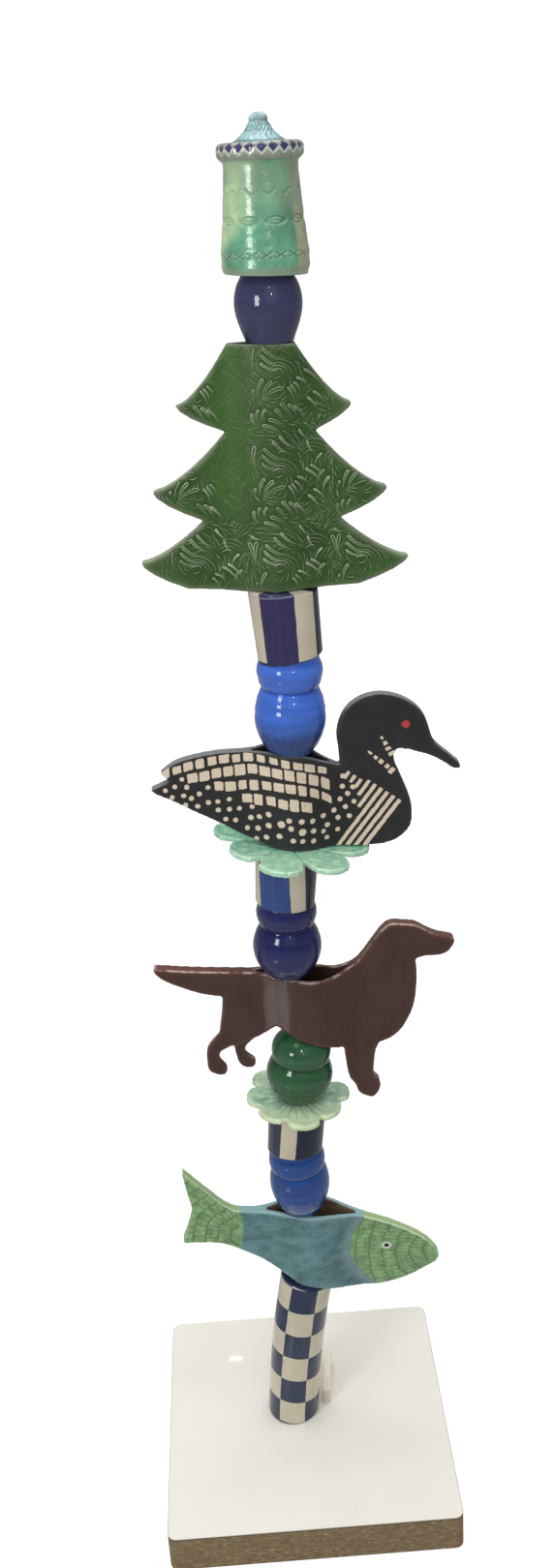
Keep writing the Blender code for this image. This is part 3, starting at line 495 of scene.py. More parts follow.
def board_finish():
    """White laminate over bare chipboard."""
    look = Finish("board_laminate", specular=0.45)
    here = look.place()
    _, _, z = look.split(here)
    paint = glazes()
    stain = look.noise(here, 0.011, 3.0).over(0.55, 0.25)
    warm = look.noise(here, 0.012, 2.0).over(0.5, 0.3)
    speck = look.pits(38.0, 0.75, 0.42)
    scuff = look.noise(look.stretch(here, (0.05, 0.5, 0.5)), 1.0, 4.0).over(0.71, 0.03)
    sheet = look.layers(
        paint.laminate, (stain, darker(paint.laminate, 0.985)), (warm * 0.4, (0.84, 0.79, 0.71)),
        (speck * 0.75, (0.30, 0.27, 0.23)), (scuff * 0.25, (0.62, 0.59, 0.52)))
    flakes = look.stretch(here, (0.22, 0.22, 0.55))
    lift, tint = look.cells(flakes, 1.0)
    tone, odd, _ = look.split(tint)
    fine = look.noise(here, 0.9, 4.0, 0.65)
    hole = look.noise(flakes, 1.3, 3.0).over(0.68, 0.04)
    # a dark glue line under the laminate, and the bottom 1 mm of the edge darkened as painted
    # shade where the board meets the floor
    glue_line_and_foot_shade = abs(z - (BOARD_TOP - 1.1)).under(0.7, 0.25).most(z.under(1.0, 0.3))
    rim = z.over(BOARD_TOP - 0.4, 0.1)
    core = look.layers(
        darker(paint.chip, 0.72), (tone, lighter(paint.chip, 0.16, (0.62, 0.50, 0.33))),
        (fine.over(0.5, 0.2) * 0.5, darker(paint.chip, 0.62)),
        (odd.over(0.93, 0.02) * 0.7, (0.42, 0.32, 0.19)), (hole * 0.8, (0.035, 0.022, 0.012)),
        (glue_line_and_foot_shade * 0.8, (0.06, 0.055, 0.045)), (rim, (0.50, 0.47, 0.40)))
    top = look.facing()[2].over(0.8, 0.15)
    height = (lift * 0.6 + fine * 0.5 - hole) * (1.0 - top)
    return look.wear(look.mix(top, core, sheet), top.between(0.85, 0.03), height, 0.35)


def wood_finish():
    """Pale planed pine with its grain along the block."""
    look = Finish("pine_block", specular=0.3)
    wood = glazes().pinewood
    drawn = look.stretch(look.place(), (0.9, 0.02, 0.9))
    rings = look.noise(drawn, 0.8, 4.0)
    line = look.noise(drawn, 2.6, 2.0)
    end = abs(look.facing()[1]).over(0.7, 0.1)
    body = look.layers(
        wood, (rings.over(0.5, 0.15), darker(wood, 0.92)),
        (line.over(0.62, 0.03) * 0.6, (0.47, 0.36, 0.22)), (end, darker(wood, 0.72)))
    return look.wear(body, rings.between(0.6, 0.8), line, 0.12)


def cream_slip(look):
    """The bare cream glaze, with pits burnt through it."""
    cream = glazes().cream
    warm = look.noise(look.place(), 0.03, 3.0).over(0.5, 0.2)
    pit = look.pits(11.0, 0.75, 0.30)
    halo = look.pits(11.0, 1.7, 0.30)
    slip = look.layers(cream, (warm, darker(cream, 0.88)), (halo * 0.3, (0.42, 0.33, 0.20)),
                       (pit * 0.8, (0.16, 0.11, 0.06)))
    return slip, pit


CHECK_ROWS = 6.0
CHECK_COLUMNS = 6.0
CHECK_START = 22.0            # the first joint, in degrees from the front


def check_finish():
    """Rows of hand-painted checks with thin pale joints."""
    look = Finish("checked_glaze", coat=0.2, specular=0.35)
    around, up = look.skin()
    blue = glazes().check_blue
    stray = look.stray(0.5, 0.10)
    across = (around + stray * 2.0 - CHECK_START) / (360.0 / CHECK_COLUMNS)
    down = ((1.0 - up) + stray * 0.006) * CHECK_ROWS
    parity = (across.math("FLOOR") + down.math("FLOOR")) * 0.5
    dark = (parity.math("FRACT") - 0.25).over(0.0, 0.01)
    joint = abs(across - across.math("ROUND")).under(0.022, 0.02)
    joint = joint.most(abs(down - down.math("ROUND")).under(0.024, 0.02))
    glaze = look.glaze(blue, 1.15, 0.7, (0.10, 0.12, 0.19), (0.05, 0.05, 0.09), Cloud=0.8,
                       Rim=0.4, Pool=0.3, Gloss=0.14)
    slip, pit = cream_slip(look)
    top = up.over(0.988, 0.004) * look.facing()[2].over(0.8, 0.1)
    # partly painted shade: a darker band at the foot, for the dark bottom edge and the contact
    # shade on the board
    foot = up.under(0.008, 0.004)
    body = look.layers(
        slip, (dark, glaze["Color"]), (joint * (1.0 - dark) * 0.45, (0.50, 0.52, 0.50)),
        (joint * dark * 0.75, darker(blue, 0.55)), (top, (0.020, 0.025, 0.075)),
        (foot * 0.8, darker(blue, 0.6)))
    return look.wear(body, glaze["Roughness"], glaze["Height"] - pit, 0.12)


SHADED_SIDE_SPAN = 150.0             # degrees of a striped cylinder's right side painted near-black as shade


def stripe_finish(name, dark, cream_stripes, slant, beyond):
    """A cylinder with broad brushed stripes, the cream ones given as (middle, width).

    They turn by a slant from foot to head, and past an angle, in degrees, the right side is
    painted near-black as shade.
    """
    look = Finish(name, coat=0.2, specular=0.35)
    around, up = look.skin()
    bent = around + look.stray(1.0, 0.08) * 1.6 + (up - 0.5) * slant
    cream = reduce(Signal.most, [
        look.group("Painted stripe", Around=bent, Middle=middle, Width=width)["Mask"]
        for middle, width in cream_stripes])
    brushed = look.glaze(dark, 1.2, 0.75, lighter(dark, 0.30), (0.16, 0.16, 0.012), Cloud=0.9,
                         Rim=0.25, Pool=0.2, Gloss=0.10)
    # painted shade: past an angle, the right side of the cylinder is painted near-black
    black = abs(bent - (beyond + SHADED_SIDE_SPAN / 2)).under(SHADED_SIDE_SPAN / 2, 3.0)
    slip, pit = cream_slip(look)
    lap = cream * (1.0 - cream) * 2.0
    foot = up.under(0.022, 0.006)
    # painted highlight: a pale band just under the top rim
    painted_rim_highlight = abs(up - 0.978).under(0.010, 0.006)
    body = look.layers(
        brushed["Color"], (black, (0.008, 0.013, 0.036)), (cream, slip), (lap, darker(dark, 0.6)),
        (foot, (0.02, 0.02, 0.05)), (painted_rim_highlight * 0.45, (0.36, 0.36, 0.46)))
    return look.wear(body, brushed["Roughness"], brushed["Height"] - pit * cream, 0.12)


def bead_finish(name, colour, pale, lower_shade_spared, ring):
    """A glossy glaze that runs thin on the bulges and pools in the groove; the lower part is
    darkened as painted shade, and some beads have a painted glare ring.
    """
    look = Finish(name, coat=0.35, coat_roughness=0.04, specular=0.35)
    _, up = look.skin()
    glaze = look.glaze(colour, pale, 0.6, (0.30, 0.34, 0.40), (0.02, 0.02, 0.10), Cloud=0.60,
                       Rim=0.15, Pool=0.85, Gloss=0.07)
    # painted shade: the lower part of the bead, which faces down, is darkened
    coats = [(up.under(0.30, 0.16) * (1.0 - lower_shade_spared), darker(colour, 0.25))]
    # painted highlight: a pale ring of glare near the foot
    if ring:
        level, half, tone = ring
        coats.append((abs(up - level).under(half, 0.012) * 0.45, tone))
    body = look.layers(glaze["Color"], *coats)
    return look.wear(body, glaze["Roughness"], glaze["Height"], 0.10)


def flower_finish(name, colour, deep, edge, warmth):
    """A pale celadon that runs off the petals' rims and lies dark in the veins."""
    look = Finish(name, coat=0.35, coat_roughness=0.08)
    here = look.place()
    _, y, _ = look.split(here)
    glaze = look.group("Kiln glaze", Thin=richer(colour, 1.2), Thick=deep, Break=edge,
                       Grain=(0.09, 0.09, 0.09), Cloud=0.8, Rim=0.9, Pool=0.45, Gloss=0.16)
    spot = look.noise(here, 0.11, 3.0, 0.6)
    front = y.under(-8.0, 14.0) * (spot * 2.0) * warmth
    body = look.layers(
        glaze["Color"], (spot.over(0.56, 0.12) * 0.5, deep), (spot.under(0.44, 0.10) * 0.5, edge),
        (front, edge), (look.mark("vein") * 0.32, darker(deep, 0.8)))
    return look.wear(body, glaze["Roughness"], glaze["Height"] + spot, 0.14)


def from_seat(look, seat):
    """Along and up a figure from its seat, in mm."""
    x, _, z = look.split(look.place())
    return x - seat[0], z - seat[1]


def away_from(x, z, point, narrow=1.0):
    """How far a figure's surface lies from a point on it, in mm."""
    along, up = x - point[0], z - point[1]
    return (along * along * narrow + up * up).math("SQRT")


def fish_finish():
    """Green head and tail, a brushed teal body and bare clay inside."""
    look = Finish("fish_glaze", coat=0.12, coat_roughness=0.15)
    paint = glazes()
    x, z = from_seat(look, FISH_SEAT)
    here = look.place()
    where = look.group("Two slabs")
    stray = look.stray(2.2, 0.06)
    to_tail = (z - 72.0) / 12.0
    to_nose = (z - 36.0) / 12.0
    gill = to_nose * to_nose * 1.5
    tail = (x + stray + to_tail * to_tail * 0.9).under(-64.5, 1.6)
    head = (x + stray * 1.6 - gill).over(47.5, 1.0)
    bloom = (x + stray * 2.0 - gill).over(38.0, 9.0) * (1.0 - head)
    body = look.glaze(paint.teal, 1.3, 0.72, (0.36, 0.55, 0.56), (0.035, 0.035, 0.05), Cloud=0.95,
                      Rim=0.75, Pool=0.4, Gloss=0.30)
    brush = look.noise(look.stretch(here, (0.06, 0.1, 0.11)), 1.0, 5.0, 0.7)
    flank = look.layers(
        body["Color"], (brush.over(0.53, 0.08) * 0.45, lighter(paint.teal, 0.12)),
        (brush.under(0.44, 0.06) * 0.45, darker(paint.teal, 0.62)),
        (x.over(25.0, 40.0) * 0.35, (0.065, 0.13, 0.18)), (bloom * 0.45, (0.30, 0.40, 0.39)))
    green = look.glaze(paint.reed, 1.35, 0.72, (0.46, 0.60, 0.34), (0.13, 0.13, 0.13), Cloud=1.1,
                       Rim=0.8, Pool=0.5, Gloss=0.24)
    scaled = look.mix(look.mark("press") * 0.85, green["Color"], darker(paint.reed, 0.42))
    ends = tail.most(head)
    # painted highlight: the up-facing edges of the slabs are painted in a paler green and teal
    rim = look.mix(ends, (0.30, 0.50, 0.51), (0.37, 0.52, 0.22))
    glint = look.mark("edge").over(0.2, 0.2) * where["Top"] * ends
    bare = look.noise(here, 0.08, 5.0, 0.65)
    inner = look.mix(bare.over(0.5, 0.15), paint.clay, darker(paint.clay, 0.72))
    away = away_from(x, z, FISH_EYE, 0.75)
    skin = look.layers(
        flank, (ends, scaled), (where["Top"] * where["Edge"] * 0.9, rim),
        (glint * 0.75, (0.74, 0.82, 0.68)), (where["Inside"], inner),
        (away.under(4.2, 0.3) * where["Outside"], EYE_WHITE),
        (away.under(2.6, 0.35) * where["Outside"], EYE_BLACK))
    rough = where["Inside"] * 0.45 + body["Roughness"]
    return look.wear(skin, rough, body["Height"] + brush * 0.6 + bare * where["Inside"], 0.16)


def dog_finish():
    """A thick glossy chestnut glaze, with a lighter brown painted highlight and painted glints
    along the top edges.
    """
    look = Finish("dog_glaze", coat=0.25, coat_roughness=0.05, specular=0.35)
    where = look.group("Two slabs")
    glaze = look.glaze(glazes().chestnut, 1.2, 0.75, (0.17, 0.075, 0.050), (0.04, 0.04, 0.02),
                       Cloud=0.8, Rim=0.5, Pool=0.4, Gloss=0.13)
    drip = look.noise(look.place(), 0.07, 4.0)
    glint = look.mark("edge").over(0.3, 0.2) * where["Top"] * drip.over(0.5, 0.06)
    # painted highlight: lighter brown on the up-facing edges, with painted glints
    skin = look.layers(
        glaze["Color"], (where["Top"] * where["Edge"] * (drip + 0.4), (0.15, 0.062, 0.046)),
        (glint * 0.7, (0.55, 0.46, 0.42)), (where["Inside"] * 0.6, (0.030, 0.018, 0.014)))
    rough = glaze["Roughness"] + where["Inside"] * 0.3 + where["Top"] * 0.12
    return look.wear(skin, rough, glaze["Height"] + drip, 0.10)


LOON_ROWS = (
    # the row's line as a cubic in 100 mm, first edge, pitch, count, share, height, seed
    ((-6.53, -32.28, -20.61, 87.39), -114.5, 11.1, 14.0, 0.77, (7.4, -1.4), 3.0),
    ((-21.27, -46.41, -20.04, 76.78), -89.4, 11.08, 12.0, 0.79, (10.6, 0.5), 21.0),
    ((-56.47, -54.24, -12.75, 63.35), -65.7, 10.92, 10.0, 0.79, (9.5, 0.0), 47.0),
    ((-40.84, -38.78, -16.67, 47.06), -40.5, 10.80, 6.0, 0.82, (11.2, 4.0), 61.0),
)
LOON_THROAT = (
    # start, angle, pitch, count, growth and seed of each row on the throat
    ((90.0, 103.0), -60.5, 6.0, 4.0, 0.24, 7.0),
    ((78.5, 89.5), -45.5, 6.8, 5.0, 0.15, 15.0),
)


LOON_DOTS = (
    # middle and width of each dot, in mm from the loon's seat
    (-93.6, 73.1, 4.4), (-100.7, 66.2, 4.6), (-109.6, 62.9, 4.4), (-103.9, 55.8, 4.6),
    (-89.7, 65.0, 4.8), (-93.1, 56.6, 4.8), (-86.3, 53.7, 4.8), (-78.7, 57.5, 4.8),
    (-70.3, 63.4, 4.6), (-92.0, 47.2, 4.8), (-81.0, 45.2, 4.8), (-70.9, 48.3, 4.8),
    (-62.1, 48.6, 4.6), (-51.4, 50.1, 4.6), (-62.3, 40.1, 4.8), (-51.9, 40.2, 4.8),
    (-42.7, 40.3, 4.6), (-55.9, 30.3, 4.6), (-47.0, 28.8, 4.8), (-32.5, 30.6, 5.2),
    (-30.9, 41.7, 4.6), (-24.7, 32.0, 4.8), (-16.1, 35.3, 5.4), (-26.7, 20.1, 5.2),
    (-16.7, 24.0, 5.6), (-36.5, 20.2, 4.8), (-19.4, 11.7, 5.0), (-7.4, 14.5, 5.4),
    (-5.1, 26.8, 7.0), (2.2, 30.7, 5.2), (3.7, 22.8, 5.4), (13.9, 28.9, 5.4),
    (24.1, 27.3, 5.2), (14.1, 18.3, 7.0), (24.6, 17.1, 5.2), (4.9, 10.5, 5.2),
    (24.1, 7.0, 5.0), (37.0, 7.0, 4.6), (37.9, 19.5, 5.0), (47.7, 12.7, 4.6),
    (34.5, 29.7, 5.0), (44.9, 32.7, 5.0), (48.4, 24.5, 5.0), (59.1, 25.3, 4.8),
    (55.7, 34.8, 5.0), (64.0, 39.5, 4.8), (51.0, 42.9, 5.0), (58.3, 48.0, 5.0),
    (63.3, 54.1, 5.0), (53.7, 55.4, 4.8), (54.5, 65.8, 4.8), (14.0, 9.0, 4.8),
    (-28.5, 9.5, 4.6), (34.0, 14.0, 4.4),
)


BREAST_PITCH = 6.95           # from one breast stripe to the next, in mm
BREAST_FEET = (
    # number of a breast stripe and how far along it starts
    (0.0, 84.0), (1.0, 84.0), (2.0, 82.5), (3.0, 77.5), (4.0, 68.0), (4.4, 10.0), (8.0, 10.0),
)


def cubic(x, terms):
    near = x * 0.01
    line = near * terms[0] + terms[1]
    for term in terms[2:]:
        line = line * near + term
    return line


def dots(look, x, z):
    """Hand-dabbed dots at their own places."""
    flat = look.node("CombineXYZ", {"X": x, "Z": z})
    spots = [look.node("VectorMath", {0: flat, 1: (across, 0.0, up)}, out="Value",
                       operation="DISTANCE") - width / 2 for across, up, width in LOON_DOTS]
    return (reduce(Signal.least, spots) + look.stray(0.6, 0.40)).under(0.0, 0.25)


def breast_stripes(look, x, z):
    """Slanting stripes over the breast, the first ones short."""
    wide = x * 0.79 - z * 0.61 + look.stray(0.7, 0.25)
    long = x * 0.61 + z * 0.79
    step = (wide - 5.3) / BREAST_PITCH
    cell = step.math("ROUND")
    inside = abs((step - cell) * BREAST_PITCH).under(cell * 0.05 + 1.6, 0.25)
    low = look.curve(cell, BREAST_FEET)
    high = cell.under(2.5, 0.01).between(95.2, 92.0)
    there = cell.over(-0.5, 0.01) * cell.under(8.5, 0.01)
    return inside * there * long.over(low, 0.35) * long.under(high, 0.35)


def loon_marks(look, x, z):
    """Buff marks left where the slip was wiped off: squares, throat, breast stripes and dots."""
    marks = []
    for terms, first, pitch, count, share, (tall, growth), seed in LOON_ROWS:
        marks.append(look.group(
            "Row of marks", Along=x, Across=z - cubic(x, terms), First=first, Pitch=pitch,
            Count=count, Share=share, Tall=x * (growth * 0.01) + tall, Seed=seed)["Mask"])
    for (right, up), angle, pitch, count, growth, seed in LOON_THROAT:
        sine, cosine = math.sin(math.radians(angle)), math.cos(math.radians(angle))
        along = (x - right) * cosine + (z - up) * sine
        across = (z - up) * cosine - (x - right) * sine
        marks.append(look.group(
            "Row of marks", Along=along, Across=across, First=0.0, Pitch=pitch, Count=count,
            Share=0.60, Tall=along * growth + 1.6, Seed=seed, Corner=0.7)["Mask"])
    return reduce(Signal.most, marks + [breast_stripes(look, x, z), dots(look, x, z)])


def loon_finish():
    """Matt black slip, the marks wiped back to buff clay and a red eye."""
    look = Finish("loon_slip", specular=0.25)
    paint = glazes()
    where = look.group("Two slabs")
    slip = look.glaze(paint.slip, 1.2, 0.8, (0.16, 0.16, 0.155), (0.05, 0.05, 0.05), Cloud=0.5,
                      Rim=0.22, Pool=0.4, Gloss=0.46)
    x, z = from_seat(look, LOON_SEAT)
    marks = loon_marks(look, x, z)
    shown = marks * where["Outside"]
    speck = look.noise(look.place(), 0.55, 3.0, 0.7)
    pit = look.pits(6.0, 0.7, 0.5)
    buff = look.layers(paint.buff, (speck.over(0.55, 0.12) * 0.6, lighter(paint.buff, 0.35)),
                       (pit * 0.85, (0.22, 0.15, 0.08)))
    along, rise = x - LOON_EYE[0], z - LOON_EYE[1]
    away = along * along + rise * rise * (along.least(0.0) * -0.35 + 1.0)
    eye = away.math("SQRT").under(3.9, 0.3) * where["Outside"]
    # painted highlight: pale grey on the up-facing edges of the black slabs
    skin = look.layers(
        slip["Color"], (shown, buff), (where["Top"] * where["Edge"] * 0.75, (0.26, 0.28, 0.29)),
        (where["Inside"] * 0.5, (0.040, 0.038, 0.036)), (eye, EYE_RED))
    height = slip["Height"] * 0.5 - shown * 0.8
    return look.wear(skin, slip["Roughness"] + marks * 0.15, height, 0.12)


def tree_finish():
    """Satin green, pale where it breaks over the stamped strokes."""
    look = Finish("tree_glaze", specular=0.12)
    green = glazes().leaf
    here = look.place()
    x, z = from_seat(look, TREE_SEAT)
    where = look.group("Two slabs")
    glaze = look.glaze(green, 1.15, 0.72, (0.24, 0.27, 0.18), (0.03, 0.03, 0.03), Cloud=0.85,
                       Rim=0.60, Pool=0.5, Gloss=0.30)
    plain = abs(x + 30.0).under(15.0, 9.0) * z.over(80.0, 30.0) * where["Outside"]
    arcs = (look.noise(here, 0.035, 2.0) * 16.0 + x * 0.10).math("FRACT")
    veil = abs(arcs - 0.5).under(0.16, 0.10) * look.noise(here, 0.02, 1.0).over(0.45, 0.12)
    # painted highlight: pale green on the up-facing edges of the slabs
    skin = look.layers(
        glaze["Color"], (plain * 0.6, (green[0] * 0.9, green[1] * 1.12, green[2] * 0.7)),
        (veil * 0.14 * where["Outside"], (0.13, 0.21, 0.09)),
        (look.mark("pool") * 0.75, darker(green, 0.42)), (look.mark("ridge"), (0.66, 0.78, 0.54)),
        (where["Top"] * where["Edge"] * 0.8, (0.32, 0.37, 0.28)),
        (where["Inside"] * 0.7, darker(green, 0.6)))
    return look.wear(skin, glaze["Roughness"], glaze["Height"] * 0.3 + veil * 0.6, 0.12)


FINIAL_DIAMONDS = 23.0        # round the rim


def finial_finish():
    """Three greens run together round the drum, a banded rim and a pale blue roof."""
    look = Finish("finial_glaze", coat=0.35, coat_roughness=0.10)
    paint = glazes()
    here = look.place()
    around, up = look.skin()
    stray = look.stray(7.0, 0.05)
    side = around + stray
    cloud = dict(Cloud=1.1, Rim=0.9, Pool=0.25, Gloss=0.16)
    moss = look.glaze(paint.moss, 1.15, 0.70, (0.50, 0.62, 0.42), (0.05, 0.05, 0.05), **cloud)
    sea = look.glaze(paint.sea, 1.35, 0.70, (0.45, 0.66, 0.52), (0.05, 0.05, 0.04), **cloud)
    olive = look.glaze(paint.olive, 1.2, 0.74, (0.50, 0.50, 0.36), (0.05, 0.05, 0.05), **cloud)
    high = up.over(0.40, 0.1)
    front = (side + up.under(0.26, 0.14) * 48.0).over(-26.0, 22.0)
    right = (around + stray * (high + 0.25)).over(45.0, high.between(2.0, 11.0))
    waist = abs(up - 0.52).under(0.10, 0.08) * side.over(0.0, 10.0)
    grey = look.noise(here, 0.045, 3.0).over(0.5, 0.12) * up.over(0.45, 0.15)
    drum = look.layers(
        moss["Color"], (front, sea["Color"]), (right, olive["Color"]),
        (abs(around).over(150.0, 14.0), moss["Color"]), (waist * 0.5, (0.26, 0.37, 0.26)),
        (up.under(0.045, 0.02) * 0.6, (0.36, 0.40, 0.30)), (grey * 0.6, (0.26, 0.37, 0.25)),
        (look.mark("press") * 0.10, darker(paint.sea, 0.6)))
    pattern = (around + stray * 0.1) / (360.0 / FINIAL_DIAMONDS)
    unit = abs(pattern - pattern.math("ROUND")) * 2.0
    level = (up - 0.790) / 0.038
    drawn = look.stray(0.10, 0.4)
    diamond = (unit * 0.85 + abs(level) * 0.80 + drawn).under(0.74, 0.10)
    zigzag = abs(level + 1.15 - unit * 0.95 + drawn).under(0.27, 0.12)
    smoke = look.noise(here, 0.2, 3.0).over(0.5, 0.2)
    band = look.layers((0.34, 0.38, 0.31), (smoke, (0.24, 0.28, 0.23)),
                       (zigzag, (0.54, 0.60, 0.53)), (diamond, (0.058, 0.043, 0.135)))
    roof = look.glaze(paint.roof, 1.3, 0.50, (0.60, 0.72, 0.70), (0.10, 0.10, 0.03), Cloud=0.9,
                      Rim=0.9, Pool=0.9, Gloss=0.12)
    blue = (level - unit * 0.55 + drawn).over(0.55, 0.12) * (1.0 - diamond)
    skin = look.layers(drum, (up.over(0.712, 0.004), band), (blue, roof["Color"]))
    dents = look.noise(here, 0.03, 2.0) * 4.0
    return look.wear(skin, sea["Roughness"], sea["Height"] + dents, 0.30)


# ---------------------------------------------------------------- shaping clay

def numbers(items, kind, width, dtype=float):
    """One property of every point or edge of a mesh, as rows."""
    found = np.empty(len(items) * width, dtype=dtype)
    items.foreach_get(kind, found)
    return found.reshape(-1, width)


def points_of(mesh):
    return numbers(mesh.vertices, "co", 3)


def normals_of(mesh):
    return numbers(mesh.vertices, "normal", 3)


def edges_of(mesh):
    return numbers(mesh.edges, "vertices", 2, np.int64)


def set_points(mesh, points):
    mesh.vertices.foreach_set("co", points.astype(np.float32).ravel())
    mesh.update()


def add_mark(mesh, name, values):
    """Store a value from 0 to 1 at each point, for the glaze to read."""
    layer = mesh.attributes.get(name) or mesh.attributes.new(name, "FLOAT", "POINT")
    layer.data.foreach_set("value", np.clip(values, 0.0, 1.0).astype(np.float32))


def averaged(points, edges):
    total = np.zeros_like(points)
    for axis in range(3):
        total[:, axis] = np.bincount(edges[:, 0], points[edges[:, 1], axis], len(points))
        total[:, axis] += np.bincount(edges[:, 1], points[edges[:, 0], axis], len(points))
    count = np.bincount(edges.ravel(), minlength=len(points))
    return total / np.maximum(count, 1)[:, None]


def relaxed(points, edges, passes):
    """Smooth without shrinking: a step in and a slightly longer step out."""
    for _ in range(passes):
        points = points + 0.50 * (averaged(points, edges) - points)
        points = points - 0.52 * (averaged(points, edges) - points)
    return points


FIGURE_WEAR = (0.0010, 6)     # reach and passes that find the worn edges of a figure
FLOWER_WEAR = (0.0008, 5)


def mark_shape(mesh, reach=0.0007, passes=4):
    """Find worn edges and hollows by how far smoothing would move each point."""
    points = points_of(mesh)
    edges = edges_of(mesh)
    smooth = points
    for _ in range(passes):
        smooth = averaged(smooth, edges)
    out = ((points - smooth) * normals_of(mesh)).sum(axis=1)
    add_mark(mesh, "edge", out / reach)
    add_mark(mesh, "groove", -out / reach)


def cover(mesh, finish):
    mesh.materials.clear()
    mesh.materials.append(finish)


def put(node, mesh, finish):
    """Stand a finished mesh in the scene for its solid."""
    cover(mesh, finish)
    mesh.shade_smooth()
    piece = bpy.data.objects.new(node + "_clay", mesh)
    bpy.context.scene.collection.objects.link(piece)
    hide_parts(node)
    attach(piece, "root")


def ramp(value, start, run):
    """0 up to a start and 1 once past a run. A negative run goes the other way."""
    return np.clip((value - start) / run, 0.0, 1.0)


def bump_line(away, width):
    return np.exp(-(away / width) ** 2)


def off_whole(value):
    """How far each value lies from the nearest whole number."""
    return np.abs(value - np.round(value))


def flat_end(points, corners, upward):
    """Middle and normal of a turned piece's flat end."""
    a, b, c = (points[corners[:, i]] for i in range(3))
    cross = np.cross(b - a, c - a)
    size = np.linalg.norm(cross, axis=1)
    facing = cross[:, 2] / np.maximum(size, 1e-12) * upward > 0.95
    normal = cross[facing].sum(axis=0)
    normal /= np.linalg.norm(normal)
    height = ((a + b + c) / 3) @ normal
    outer = facing & (height > height[facing].max() - 0.0004)
    middle = ((a + b + c) / 3 * size[:, None])[outer].sum(axis=0) / size[outer].sum()
    return middle, normal


LEVEL = 0.00025               # spacing of the levels of a turned profile, in metres


class Turning:
    """The axis, the ends and the profile of a turned solid."""

    def __init__(self, node, blur=0.0018, radius=None, bow=0.0):
        mesh = SOLIDS[node].data
        mesh.calc_loop_triangles()
        points = points_of(mesh)
        corners = np.array([tri.vertices[:] for tri in mesh.loop_triangles])
        self.foot, self.foot_normal = flat_end(points, corners, -1)
        self.head, self.head_normal = flat_end(points, corners, 1)
        self.height = np.linalg.norm(self.head - self.foot)
        self.axis = (self.head - self.foot) / self.height
        right = np.array([1.0, 0.0, 0.0])
        self.right = right - self.axis * (right @ self.axis)
        self.right /= np.linalg.norm(self.right)
        self.front = np.cross(self.right, self.axis)
        self.bend = np.outer((bow * 4 / self.height ** 2, -bow * 4 / self.height, 0.0), self.right)
        away = points - self.foot
        up = away @ self.axis
        wide = np.linalg.norm(away - up[:, None] * self.axis, axis=1)
        rim = wide > 0.002
        self.profile(up[rim], wide[rim] if radius is None else np.full(rim.sum(), radius), blur)

    def profile(self, up, radius, blur):
        """Keep the outline of the points as a blurred line, from the foot up."""
        order = np.argsort(up)
        bins = np.round(up[order] / (2 * LEVEL))
        knots = np.unique(bins)
        level = [up[order][bins == knot].mean() for knot in knots]
        width = [np.percentile(radius[order][bins == knot], 80) for knot in knots]
        self.levels = np.arange(min(level) - 0.002, max(level) + 0.002, LEVEL)
        self.line = np.interp(self.levels, level, width)
        reach = int(round(3 * blur / LEVEL))
        taps = np.exp(-0.5 * (np.arange(-reach, reach + 1) * LEVEL / blur) ** 2)
        padded = np.pad(self.line, reach, mode="edge")
        self.line = np.convolve(padded, taps / taps.sum(), mode="valid")

    def drift(self, up):
        """How far a bowed piece's middle lies off its axis."""
        up = np.asarray(up)
        return sum(np.multiply.outer(up ** (2 - i), self.bend[i]) for i in range(3))

    def radius(self, up):
        return np.interp(up, self.levels, self.line)

    def direction(self, angle):
        return (np.multiply.outer(np.cos(angle), self.front)
                + np.multiply.outer(np.sin(angle), self.right))

    def end_height(self, angle, middle, normal):
        """Where the flat end cuts each side line."""
        up = np.full(len(angle), (middle - self.foot) @ self.axis)
        for _ in range(6):
            place = self.foot + np.outer(up, self.axis) + self.drift(up)
            place = place + self.radius(up)[:, None] * self.direction(angle)
            up = up - ((place - middle) @ normal) / (self.axis @ normal)
        return up


END_RINGS = np.array([0.0, 0.06, 0.18, 0.36, 0.62, 1.0])    # rows over a worn end, as shares


